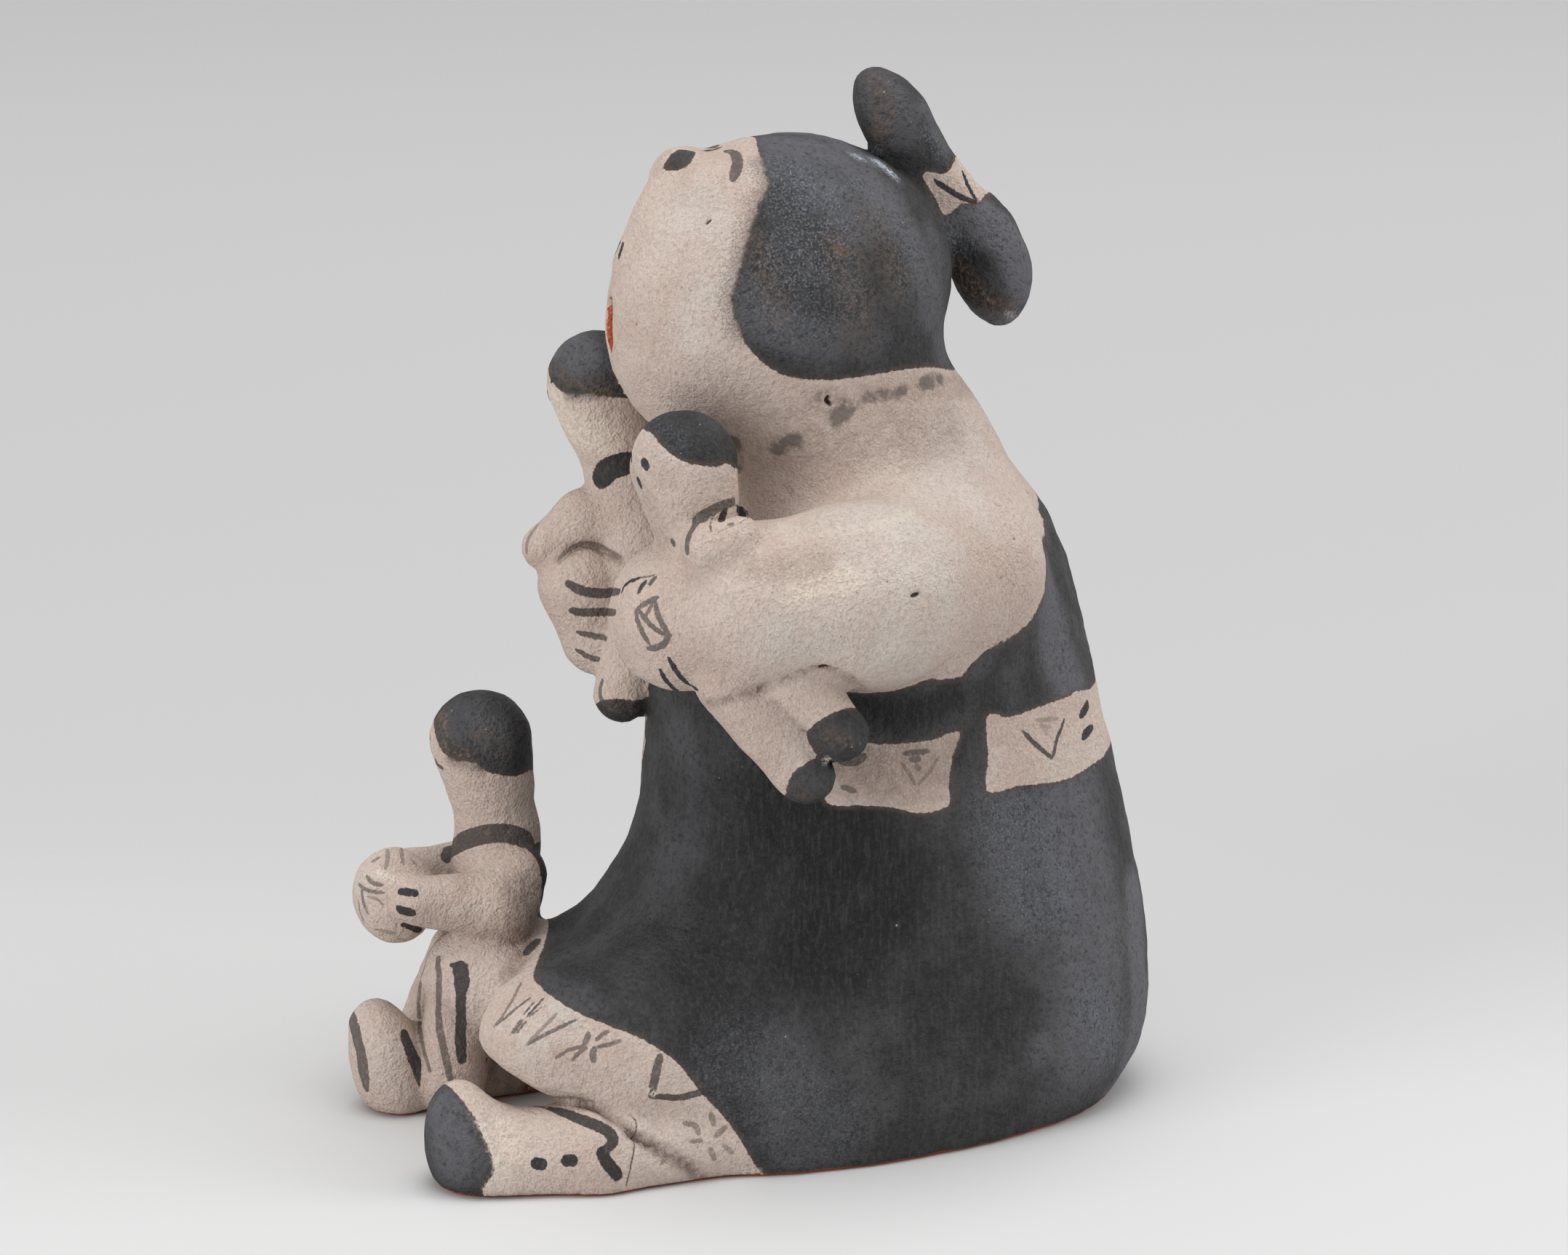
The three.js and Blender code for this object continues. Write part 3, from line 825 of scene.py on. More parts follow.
# The child with the pot
# Black hair, a black strip down the back, a collar, fingers round the pot and fringes down the leg,
# brushed on. Its other eye and its mouth lie on the side away from the picture.
FRONT_CAP = [
    (599, 960), (597, 990), (600, 1012), (609, 1032), (622, 1044), (642, 1047), (656, 1050),
    (664, 1059), (680, 1064), (700, 1067), (715, 1066), (735, 1057), (770, 1040), (760, 920),
    (610, 920),
]
BACK_STRIP = [
    (734, 1160), (741, 1190), (744, 1220), (742, 1250), (739, 1275), (735, 1292), (731, 1302),
    (748, 1308), (800, 1300), (800, 1160),
]
FRONT_EYE, FRONT_EYE_WIDTH = [(591, 1004), (591, 1011), (592, 1017)], 5
FRONT_COLLAR = [
    (617, 1178), (626, 1163), (645, 1153), (672, 1146), (700, 1146), (722, 1155), (738, 1174),
]
FRONT_CHILD_MARKS = [
    ([(550, 1225), (560, 1226), (571, 1228)], 12, 1.0),
    ([(546, 1250), (556, 1252), (567, 1254)], 14, 1.0),
    ([(555, 1272), (566, 1275), (577, 1279)], 11, 1.0),
    ([(622, 1327), (632, 1328), (641, 1327)], 8, 0.95),
    ([(632, 1330), (635, 1345), (634, 1358)], 24, 0.95),
    ([(634, 1345), (634, 1370), (634, 1400), (633, 1430), (635, 1456)], 16, 0.95),
    ([(603, 1318), (604, 1350), (603, 1380), (604, 1410), (610, 1440), (619, 1482)], 12, 0.8),
    ([(586, 1322), (579, 1350), (577, 1380), (578, 1415), (583, 1440), (592, 1472)], 7, 0.75),
    ([(575, 1318), (567, 1340), (560, 1370)], 5, 0.75),
    ([(739, 1294), (731, 1302), (724, 1311)], 13, 0.9),
]
FRONT_CHILD_NECK, FRONT_CHILD_COLLAR = 60, 62

# How far round the head each hidden mark lies from the eye that shows, in radians, and how far up.
HIDDEN_FACE, HIDDEN_WIDER = ((-0.95, 0), (-0.45, -5)), 1.4


def front_child_black(p):
    """Its hair above the neck and the strip down its back below the collar."""
    cap = np.where(p[:, 2] > FRONT_CHILD_NECK, outline_distance(p, FRONT_CAP), AWAY)
    back = np.where(p[:, 2] < FRONT_CHILD_COLLAR, outline_distance(p, BACK_STRIP), AWAY)
    return np.minimum(cap, back)


coats.append(("front child", front_child_black))
stroke("front child", FRONT_EYE, FRONT_EYE_WIDTH, 0.8)
stroke("front child", FRONT_COLLAR, 27, 0.9, 0.9)
strokes("any", FRONT_CHILD_MARKS, 0.85)

head_axis = np.array(FRONT_CROWN) * UNIT
eye = seen(front_child, FRONT_EYE)
half = brushed(eye, FRONT_EYE_WIDTH, 1.0)
for angle, fall in HIDDEN_FACE:
    cos, sin = np.cos(angle), np.sin(angle)
    x, y, z = (eye - head_axis).T
    turned = np.stack([x * cos + y * sin, y * cos - x * sin, z + fall], 1) + head_axis
    turned = settled(front_child, turned, 8)
    placed["brush"].append(("front child", turned, half * HIDDEN_WIDER, 0.9))

# The pot
# A small round pot of the same clay, luted between the child's hands, with hatched lines brushed on
# and its slip worn through in front.
POT_MARKS = [
    ([(533, 1168), (533, 1180), (530, 1195)], 7, 0.6),
    ([(552, 1166), (553, 1176), (555, 1188)], 6, 0.6),
    ([(512, 1184), (521, 1179)], 9, 0.7),
    ([(505, 1205), (512, 1213), (526, 1217)], 7, 0.75),
    ([(494, 1215), (506, 1224), (528, 1227)], 6, 0.75),
    ([(498, 1222), (500, 1240), (506, 1256)], 6, 0.75),
    ([(505, 1233), (518, 1236), (526, 1243)], 5, 0.6),
    ([(492, 1192), (497, 1184), (504, 1176)], 4, 0.7),
    ([(493, 1238), (495, 1255), (500, 1270)], 4, 0.7),
    ([(515, 1278), (530, 1281), (542, 1283)], 8, 0.5),
    ([(545, 1290), (560, 1292)], 4, 0.5),
    ([(566, 1180), (573, 1187)], 6, 0.5),
]
strokes("pot", POT_MARKS)

# Paint on the boots
# Each moccasin is bare pink slip with a black patch over the toe, a wavy line for the flap and two
# dots for buttons. The far one shows its turned-up sole.
NEAR_TOE = [
    (560, 1462), (590, 1478), (604, 1486), (618, 1494), (632, 1508), (645, 1525), (657, 1543),
    (664, 1560), (673, 1578), (679, 1600), (677, 1615), (664, 1633), (655, 1660), (540, 1660),
    (530, 1500),
]
NEAR_INSTEP = -70
FLAP_TOP = [(702, 1518), (735, 1520), (765, 1526)]
FLAP = [(755, 1524), (780, 1531), (800, 1539), (822, 1548), (838, 1558), (842, 1570), (831, 1582)]
FLAP_TIP = [(828, 1584), (834, 1597), (843, 1608), (849, 1616)]
BUTTONS = [[(738, 1599), (744, 1600)], [(780, 1595), (786, 1595)]]
FAR_TOE = [(479, 1388), (486, 1408), (492, 1436), (498, 1465), (503, 1496)]
FAR_FLAP = [(557, 1422), (563, 1440), (571, 1462), (581, 1486), (592, 1504)]


def near_toe(p):
    """The patch over the toe, in front of the instep."""
    return np.where(p[:, 1] < NEAR_INSTEP, outline_distance(p, NEAR_TOE), AWAY)


coats.append(("left boot", near_toe))
stroke("any", FLAP_TOP, 8, 0.8, both_sides="any")
stroke("any", FLAP, 18, 0.95, both_sides="any")
stroke("left boot", FLAP_TIP, 19, 1.0, 0.9, "right boot")
for button in BUTTONS:
    stroke("left boot", button, 18, 1.0, 1.0, "right boot")
stroke("right boot", FAR_TOE, 24, 0.85, 0.5)
stroke("right boot", FAR_FLAP, 20, 0.95, 0.8)

# Wear, painted shade and painted sheen
# The slip is thin, rubbed and chalky in places, the black is greyed where it faces up and outwards, as
# dust and as painted sheen, and sand has left pits. A wash is a soft patch of wear or of painted shade.

# Each wash has its part, the places it runs through, its width there and its strength.
WASHES = {
    "pale": [
        ("grandmother", [(1220, 730), (1280, 800), (1250, 880)], 270, 0.55),
        ("grandmother", [(1330, 610), (1320, 700)], 170, 0.4),
        ("grandmother", [(1080, 880), (1180, 870)], 130, 0.5),
        ("grandmother", [(722, 1392), (738, 1425), (716, 1462)], 76, 0.25),
        ("grandmother", [(765, 1380), (790, 1400)], 46, 0.6),
        ("grandmother", [(960, 290), (985, 380), (960, 450)], 130, 0.45),
    ],
    "cream": [
        ("grandmother", [(1100, 815), (1135, 808), (1165, 795)], 62, 0.65),
        ("grandmother", [(1050, 730), (1140, 692), (1230, 655)], 44, 0.35),
        ("grandmother", [(1130, 735), (1200, 722), (1255, 705)], 24, 0.4),
        ("right child", [(765, 560), (790, 590), (822, 600)], 88, 1.0),
        ("right child", [(748, 520), (760, 560), (790, 620)], 40, 0.8),
        ("left boot", [(690, 1550), (700, 1590), (690, 1620)], 50, 0.55),
        ("grandmother", [(880, 620), (900, 680)], 40, 0.3),
    ],
    "smudge": [
        ("grandmother", [(1070, 614), (1092, 605)], 40, 1.2),
        ("grandmother", [(1008, 606), (1013, 640)], 36, 1.1),
        ("grandmother", [(1145, 575), (1164, 565)], 38, 1.2),
        ("grandmother", [(1190, 550), (1242, 537)], 32, 0.9),
        ("grandmother", [(1268, 528), (1290, 521)], 34, 1.1),
        ("grandmother", [(1308, 521), (1316, 518)], 16, 0.5),
        ("grandmother", [(1100, 540), (1180, 545)], 40, 0.3),
    ],
    # Painted shade: under the jaw and chin, on the children where they meet the body, in creases and
    # along the hem over the boot.
    "painted_shade": [
        ("grandmother", [(985, 560), (1040, 600), (1100, 600)], 170, 0.42),
        ("grandmother", [(1120, 555), (1240, 540), (1330, 530)], 60, 0.5),
        ("grandmother", [(1170, 600), (1225, 584), (1262, 602), (1300, 586)], 120, 0.4),
        ("grandmother", [(960, 760), (1060, 780), (1130, 770)], 60, 0.35),
        ("grandmother", [(1180, 1050), (1240, 1060), (1300, 1050)], 150, 0.6),
        ("front child", [(715, 1225), (716, 1265), (704, 1305)], 84, 0.8),
        ("any", [(728, 1300), (716, 1318), (700, 1345)], 46, 1.0),
        ("front child", [(640, 1290), (690, 1280)], 34, 0.6),
        ("any", [(735, 1506), (800, 1515), (845, 1542), (872, 1560), (930, 1596), (962, 1620)], 26, 1.0),
        ("any", [(768, 770), (785, 756), (805, 750), (830, 757), (852, 769)], 24, 1.0),
        ("any", [(970, 970), (1035, 951), (1105, 924), (1132, 918), (1186, 946)], 18, 0.75),
        ("any", [(1062, 962), (1085, 985), (1107, 1010)], 18, 0.5),
        ("any", [(680, 1470), (705, 1490), (732, 1506)], 60, 0.9),
        ("left child", [(872, 650), (890, 690), (910, 740)], 60, 0.4),
        ("left child", [(885, 600), (905, 650)], 60, 0.25),
    ],
    # Grey dust on the black, with painted sheen where the black faces up and towards the light behind.
    "dust_and_sheen": [
        ("grandmother", [(1440, 800), (1450, 880), (1480, 960)], 130, 1.1),
        ("grandmother", [(1340, 920), (1400, 850)], 60, 0.5),
        ("grandmother", [(1470, 1120), (1500, 1280), (1500, 1430)], 250, 1.0),
        ("grandmother", [(1560, 1230), (1565, 1400), (1530, 1520)], 120, 1.3),
        ("grandmother", [(1390, 1130), (1420, 1240)], 200, 0.6),
        ("grandmother", [(1440, 1440), (1500, 1400)], 90, 0.8),
        ("grandmother", [(1070, 195), (1150, 215), (1215, 270)], 120, 0.9),
        ("grandmother", [(1280, 330), (1290, 450), (1300, 500)], 80, 0.5),
        ("grandmother", [(1080, 1470), (1120, 1570)], 170, 0.35),
        ("left boot", [(610, 1530), (625, 1590)], 130, 0.9),
        ("grandmother", [(1270, 150), (1300, 205)], 44, 0.7),
        ("grandmother", [(1330, 290), (1390, 330), (1410, 390)], 90, 1.6),
        ("grandmother", [(1340, 430), (1390, 440)], 60, 1.2),
        ("grandmother", [(1215, 290), (1255, 330), (1285, 430)], 90, 0.8),
        ("grandmother", [(1040, 440), (1120, 470), (1200, 470)], 90, 0.6),
        ("right child", [(775, 470), (800, 490)], 100, 0.8),
        ("grandmother", [(1205, 110), (1240, 180)], 90, 0.55),
        ("grandmother", [(735, 1340), (800, 1375)], 80, 0.35),
        ("grandmother", [(935, 1010), (950, 1120), (910, 1230)], 120, 0.2),
        ("grandmother", [(1070, 210), (1120, 240), (1180, 300)], 130, 0.6),
        ("front child", [(620, 990), (680, 1010)], 90, 0.3),
        ("grandmother", [(1080, 180), (1140, 190), (1190, 220)], 80, 1.0),
    ],
    # Painted shade on the black: on the manta under the arm and the children's feet, and on a child's cap
    # under her chin.
    "deep": [
        ("grandmother", [(1085, 1110), (1150, 1160), (1190, 1230), (1140, 1300)], 300, 1.0),
        ("grandmother", [(1010, 1110), (1040, 1300), (960, 1360)], 240, 0.6),
        ("grandmother", [(1170, 970), (1250, 980), (1310, 960)], 70, 0.8),
        ("grandmother", [(1250, 1290), (1330, 1400)], 220, 0.4),
        ("left child", [(900, 560), (960, 610)], 120, 0.5),
    ],
    "frost": [
        ("grandmother", [(1080, 250), (1120, 300), (1100, 360)], 180, 1.1),
        ("grandmother", [(1180, 260), (1230, 320), (1250, 380)], 90, 0.6),
        ("grandmother", [(1060, 400), (1100, 440), (1150, 410)], 150, 0.7),
        ("grandmother", [(1195, 205), (1215, 228), (1232, 245)], 34, 1.5),
        ("grandmother", [(1300, 310), (1325, 340)], 60, 1.0),
        ("grandmother", [(1275, 185), (1295, 215)], 40, 0.9),
        ("grandmother", [(1390, 1130), (1430, 1230)], 190, 0.75),
        ("grandmother", [(1020, 1460), (1130, 1560)], 220, 0.45),
        ("grandmother", [(1500, 1380), (1530, 1440)], 110, 0.8),
        ("left child", [(900, 575), (930, 600)], 60, 0.5),
    ],
    "rub": [
        ("grandmother", [(1040, 340), (1060, 390), (1070, 430)], 70, 0.8),
        ("grandmother", [(1150, 340), (1180, 400), (1180, 450)], 110, 0.7),
        ("grandmother", [(1200, 300), (1235, 390)], 90, 0.7),
        ("grandmother", [(1205, 112), (1215, 150), (1212, 190)], 56, 0.9),
        ("grandmother", [(1320, 370), (1350, 410), (1385, 428)], 56, 1.4),
        ("front child", [(608, 985), (615, 1025), (645, 1042)], 40, 1.2),
        ("front child", [(655, 1010), (690, 1030)], 50, 0.5),
        ("right child", [(760, 510), (800, 530), (840, 535)], 34, 0.9),
        ("left child", [(1140, 1012), (1165, 1022)], 40, 1.0),
        ("left child", [(1098, 1088), (1110, 1096)], 30, 0.7),
        ("right child", [(835, 968), (870, 978)], 30, 0.8),
    ],
    "speckle": [
        (
            "grandmother",
            [(1040, 232), (1034, 280), (1020, 330), (1007, 372), (1000, 410), (1005, 446)],
            90, 0.9,
        ),
        ("left child", [(1105, 1000), (1112, 1010)], 16, 0.8),
        ("right child", [(780, 545), (830, 545)], 22, 0.8),
        ("front child", [(620, 1045), (660, 1058)], 24, 0.8),
    ],
    "salt": [
        ("grandmother", [(1205, 222), (1214, 229), (1228, 241)], 26, 1.0),
        ("grandmother", [(1176, 213), (1186, 218)], 20, 0.8),
        ("grandmother", [(1385, 430), (1392, 440)], 16, 0.6),
    ],
    # The red slip under the hem painted dark as in shade, and a red-brown stain on the hair.
    "red_in_shade_and_stain": [
        ("any", [(722, 1492), (729, 1500), (735, 1508)], 26, 1.0),
        ("grandmother", [(1150, 343), (1160, 347)], 16, 0.5),
    ],
    "chalk": [
        ("left boot", [(650, 1530), (668, 1562), (680, 1590), (681, 1612), (668, 1634)], 13, 0.8),
        ("grandmother", [(985, 1610), (1010, 1608), (1040, 1614)], 22, 0.9),
        ("grandmother", [(893, 1498), (899, 1504)], 13, 1.0),
        ("grandmother", [(1010, 1580), (1022, 1596)], 10, 0.6),
        ("pot", [(520, 1198), (532, 1205), (543, 1210)], 17, 1.2),
        ("left child", [(1138, 1042), (1144, 1044)], 8, 0.9),
        ("right child", [(737, 500), (740, 520)], 9, 0.7),
    ],
}
FLECKS = {
    "grandmother": [
        ((1233, 1272), 6), ((1378, 1237), 4), ((1080, 1425), 5), ((1105, 1438), 4),
        ((1002, 1181), 4), ((1037, 1318), 4), ((1406, 1096), 4), ((1505, 1055), 5),
        ((1197, 1300), 3), ((1216, 126), 5), ((1252, 168), 5), ((1241, 306), 5),
        ((1180, 298), 4), ((1222, 112), 4),
    ],
    "left child": [
        ((962, 583), 5), ((1172, 1027), 5), ((1184, 1023), 4), ((936, 623), 4), ((985, 612), 3),
    ],
    "front child": [((622, 978), 5), ((668, 1003), 4), ((700, 1020), 4)],
}
FLECK_SIZE = 0.8
PITS_AND_CRACKS = [
    ("grandmother", [(1139, 546), (1137, 551), (1142, 556)], 6, 1.3),
    ("grandmother", [(971, 307), (977, 302)], 4, 0.5),
    ("grandmother", [(1254, 819), (1262, 816)], 6, 0.8),
    ("grandmother", [(1238, 719)], 4, 0.4), ("grandmother", [(1377, 794)], 4, 0.4),
    ("grandmother", [(1396, 740)], 5, 0.5), ("grandmother", [(1210, 683)], 3, 0.3),
    ("grandmother", [(1220, 800)], 4, 0.3), ("grandmother", [(1178, 815)], 4, 0.3),
    ("grandmother", [(1015, 757)], 4, 0.4), ("grandmother", [(927, 806)], 3, 0.3),
    ("grandmother", [(1128, 920), (1140, 917)], 7, 0.7),
    ("grandmother", [(932, 1556), (936, 1552)], 5, 0.6),
    ("grandmother", [(874, 446)], 4, 0.4), ("grandmother", [(950, 400)], 3, 0.3),
    ("left boot", [(735, 1515), (746, 1512), (757, 1513)], 3, 0.4),
    (
        "left boot",
        [(864, 1531), (874, 1546), (873, 1567), (872, 1584), (867, 1607), (861, 1630)],
        2.6, 0.35,
    ),
]

# Dents are pressed in with a finger or a tool, or stand proud of the clay where the depth is less
# than nothing: along the hem over the boot, on the manta and where the children's limbs are luted.
DENTS = [
    (
        [
            (735, 1507), (765, 1509), (800, 1516), (830, 1529), (855, 1544), (870, 1560),
            (900, 1578), (930, 1595), (955, 1613),
        ],
        8, 2.0,
    ),
    (
        [
            (735, 1489), (765, 1491), (800, 1498), (832, 1510), (860, 1526), (878, 1542),
            (905, 1560), (936, 1578), (960, 1596),
        ],
        14, -0.7,
    ),
    ([(768, 772), (780, 762), (790, 755), (805, 750), (825, 755), (852, 769)], 6, 0.8),
    ([(945, 1066), (968, 1080), (990, 1096), (1008, 1118)], 6, 0.9),
    ([(1002, 1036), (1014, 1058), (1030, 1076), (1047, 1088)], 6, 0.8),
    ([(950, 1052), (976, 1066), (1000, 1086)], 9, -0.5),
    ([(1012, 1100), (1028, 1112), (1040, 1128)], 8, -0.5),
    ([(940, 1090), (965, 1106), (990, 1124)], 8, -0.35),
    ([(968, 968), (1000, 961), (1035, 949), (1070, 936), (1105, 922), (1132, 916)], 6, 0.9),
    ([(1132, 916), (1160, 926), (1186, 944)], 6, 0.8),
    ([(1062, 962), (1085, 985), (1107, 1010)], 5, 0.6),
    ([(880, 1224), (925, 1229), (973, 1232)], 4, 0.15),
    ([(1175, 1310), (1190, 1316)], 5, 0.3), ([(1200, 1325), (1208, 1335)], 5, 0.3),
    ([(1182, 1342), (1190, 1350)], 4, 0.25), ([(1212, 1312), (1216, 1318)], 4, 0.25),
    ([(1120, 640), (1180, 668)], 18, 0.25), ([(1240, 760), (1300, 745)], 20, 0.25),
    ([(1100, 760), (1160, 770)], 22, 0.25), ([(1020, 700), (1040, 660)], 18, 0.2),
]
for kind, patches in WASHES.items():
    for part, places, width, strength in patches:
        stroke(part, places, width, strength, 1.0, kind=kind)
for part, flecks in FLECKS.items():
    for place, width in flecks:
        stroke(part, [place], width * FLECK_SIZE, kind="fleck")
for part, places, width, depth in PITS_AND_CRACKS:
    stroke(part, places, width, depth, 0.8, kind="hollow")
for places, width, depth in DENTS:
    stroke("any", places, width, depth, 0.5, kind="dent")

# Where each mark lies
# Each mark is laid on its own part of the figure, or on whichever lies in front, and a mark that
# both sides carry is repeated on the other. Slip, wear and painted shade are kept as values at every
# point.

# How far in mm a mark, a coat and a wash may reach past the edge of their part.
MARK_REACH, COAT_REACH, WASH_REACH = 4, 6, 0.8
for part, form in SURFACES.items():
    own = [mark for mark in marks if mark[0] == part]
    found = seen(form, np.concatenate([mark[1] for mark in own]))
    ends = np.cumsum([len(mark[1]) for mark in own])[:-1]
    for (_, _, width, strength, tips, other, kind), line in zip(own, np.split(found, ends)):
        half = brushed(line, width, tips)
        placed.setdefault(kind, []).append((part, line, half, strength))
        if other:
            placed[kind].append((other, settled(SURFACES[other], opposite(line), 6), half, strength))


def regions(p):
    """How far each point is from each part, less how far from the next: negative on that part."""
    near = {name: np.empty(len(p)) for name in PARTS}
    for start in range(0, len(p), BATCH):
        part = slice(start, start + BATCH)
        for name, form in PARTS.items():
            near[name][part] = form(p[part])
    result = {"any": np.full(len(p), -AWAY)}
    for name in near:
        others = np.minimum.reduce([d for other, d in near.items() if other != name])
        result[name] = near[name] - others
    return result


def slip_on(p, region):
    """Signed distance in mm from the edge of the black slip."""
    slip = np.full(len(p), AWAY)
    for part, coat in coats:
        close = region[part] < COAT_REACH
        slip[close] = np.minimum(slip[close], np.maximum(coat(p[close]), region[part][close]))
    return slip


def gap_to(p, line, half):
    """Distance of points from the edge of a line with a half width at each of its points."""
    gap = np.full(len(p), VERY_FAR)
    for a, b, ha, hb in zip(line, line[1:], half, half[1:]):
        along = b - a
        t = np.clip((p - a) @ along / max(along @ along, ALMOST_NOTHING), 0, 1)
        gap = np.minimum(gap, np.linalg.norm(p - a - t[:, None] * along, axis=1) - ha - t * (hb - ha))
    return gap


def close_to(p, line, room):
    """Which points lie in the box round a line, with some room."""
    return (p > line.min(0) - room).all(1) & (p < line.max(0) + room).all(1)


def nearest_line(p, region, lines):
    """Distance in mm from the edge of the nearest of some lines, and that line's strength."""
    best = np.full(len(p), AWAY)
    strength = np.zeros(len(p))
    for part, line, half, force in lines:
        near = close_to(p, line, MARK_REACH + half.max()) & (region[part] < MARK_REACH)
        index = np.flatnonzero(near)
        gap = np.maximum(gap_to(p[index], line, half), region[part][index])
        better = gap < best[index]
        best[index[better]] = gap[better]
        strength[index[better]] = force
    return best, strength


def softly(strength, fade):
    """A strength that comes in softly as the fade goes from nothing to one."""
    fade = np.clip(fade, 0, 1)
    return strength * fade * fade * (3 - 2 * fade)


def pressed(p, region, lines, edge=0.8):
    """How deep the clay is pressed in along some lines, with soft edges."""
    total = np.zeros(len(p))
    for part, line, half, depth in lines:
        near = close_to(p, line, half.max() + 1) & (region[part] < WASH_REACH)
        index = np.flatnonzero(near)
        total[index] += softly(depth, 0.5 - gap_to(p[index], line, half) / (edge + half.max()))
    return total


def worn(p, region, patches, rise=1.4):
    """How strongly points are worn or painted with shade, from patches that fade out towards their edges.
    """
    most = np.zeros(len(p))
    for part, line, half, strength in patches:
        index = np.flatnonzero(close_to(p, line, half.max()) & (region[part] < WASH_REACH))
        wear = softly(strength, -rise * gap_to(p[index], line, half) / half.max())
        most[index] = np.maximum(most[index], wear)
    return most


# The mesh is made finer towards the edges of marks, in three steps, the last two for fine marks.
# Each step is a margin round the edges and the longest side that may stay there, in mm.
STEPS = ((1.0, 1.05), (0.45, 0.6), (0.12, 0.42))
SLIP_LEEWAY = 0.5
fine_marks = placed["brush"] + placed["fleck"] + placed["hollow"]
for margin, length in STEPS:
    region = regions(points)
    edge = nearest_line(points, region, fine_marks)[0]
    if margin == STEPS[0][0]:
        edge = np.minimum(np.abs(edge), np.abs(slip_on(points, region)) + SLIP_LEEWAY)
    known = len(points)
    points, triangles = refined(points, triangles, edge, margin, length)
    points[known:] = settled(figure, points[known:], 2)

region = regions(points)
slip = slip_on(points, region)
brush, strength = nearest_line(points, region, placed["brush"])
fleck = nearest_line(points, region, placed["fleck"])[0]
pit, depth = nearest_line(points, region, placed["hollow"])

# The mouth and the underside keep a red-orange slip.
UNDERSIDE = 0.7
mouth_slip = lump(on_face(0, -47.2, 160), (3.7, 5.6, 5.6))
red = np.minimum(mouth_slip(points), points[:, 2] - UNDERSIDE)

# How far the clay is shut in by clay round it, which paints shade into creases and darkens the red slip
# there.
PINCH_REACHES = (2.0, 6.0)
MOST_PINCH = 1.5
normal = slope_of(figure, points)[1]
normal /= np.maximum(np.linalg.norm(normal, axis=1), ALMOST_NOTHING)[:, None]
pinch = np.zeros(len(points))
for start in range(0, len(points), BATCH):
    part = slice(start, start + BATCH)
    for reach in PINCH_REACHES:
        room = figure(points[part] + normal[part] * reach) / reach
        pinch[part] += np.clip(1 - room, 0, MOST_PINCH) / len(PINCH_REACHES)

# Handwork leaves the clay uneven: each row is the size and the height of one kind of unevenness.
HANDWORK = ((14, 0.38), (5.5, 0.26), (2.4, 0.13))
PIT_EDGE, FLAT_BELOW = 0.5, 0.8
dented = points.copy()
for size, height in HANDWORK:
    swell = np.array([noise.noise(Vector(p / size)) for p in points])
    dented += normal * (swell * height)[:, None]
dip = depth * np.clip(0.5 - pit / PIT_EDGE, 0, 1) + pressed(points, region, placed["dent"])
dented -= normal * dip[:, None]
flat = points[:, 2] < FLAT_BELOW
dented[flat] = points[flat]
dented[:, 2] = np.maximum(dented[:, 2], 0)

mesh = bpy.data.meshes.new("storyteller_clay")
mesh.from_pydata((dented + MIDDLE) / METRE, [], triangles.tolist())
layers = {
    "slip": slip, "brush": brush, "strength": strength, "red": red, "fleck": fleck, "pit": pit,
    "pinch": pinch,
}
layers.update({kind: worn(points, region, placed[kind]) for kind in WASHES})
for name, values in layers.items():
    mesh.attributes.new(name, "FLOAT", "POINT").data.foreach_set("value", values.astype(np.float32))
mesh.shade_smooth()
clay = bpy.data.objects.new("storyteller_clay", mesh)
bpy.context.scene.collection.objects.link(clay)

# The fired surface
# Pale pink slip over sandy clay, charcoal slip, thin strokes of brown-black and a little red, all
# burnished unevenly and left dull by the fire.
MM = 1 / METRE
SANDY_PINK = (0.520, 0.402, 0.345, 1)
FULL_PINK = (0.580, 0.475, 0.415, 1)
LIGHT_PINK = (0.600, 0.515, 0.455, 1)
WASHED_PALE = (0.600, 0.562, 0.510, 1)
CREAM = (0.69, 0.60, 0.50, 1)
# Painted shade on the pink, in patches.
PAINTED_SHADE_BROWN = (0.235, 0.172, 0.142, 1)
# Painted shade in shut-in creases.
CREASE_PAINTED_SHADE = (0.17, 0.115, 0.085, 1)
# The red slip under the hem in painted shade.
RED_SLIP_IN_PAINTED_SHADE = (0.15, 0.045, 0.025, 1)
SAND_SHADE = (0.33, 0.25, 0.21, 1)
SAND_LIGHT = (0.72, 0.65, 0.59, 1)
SAND_GRAIN = (0.27, 0.215, 0.19, 1)
SMUDGE = (0.15, 0.125, 0.112, 1)
SPECKLE = (0.17, 0.145, 0.135, 1)
HAZE = (0.19, 0.155, 0.14, 1)
DARK_SPOT = (0.13, 0.10, 0.088, 1)
PALE_SPOT = (0.66, 0.60, 0.52, 1)
CHARCOAL = (0.027, 0.0265, 0.027, 1)
THIN_CHARCOAL = (0.055, 0.054, 0.056, 1)
# The black in painted shade.
BLACK_IN_PAINTED_SHADE = (0.005, 0.005, 0.0052, 1)
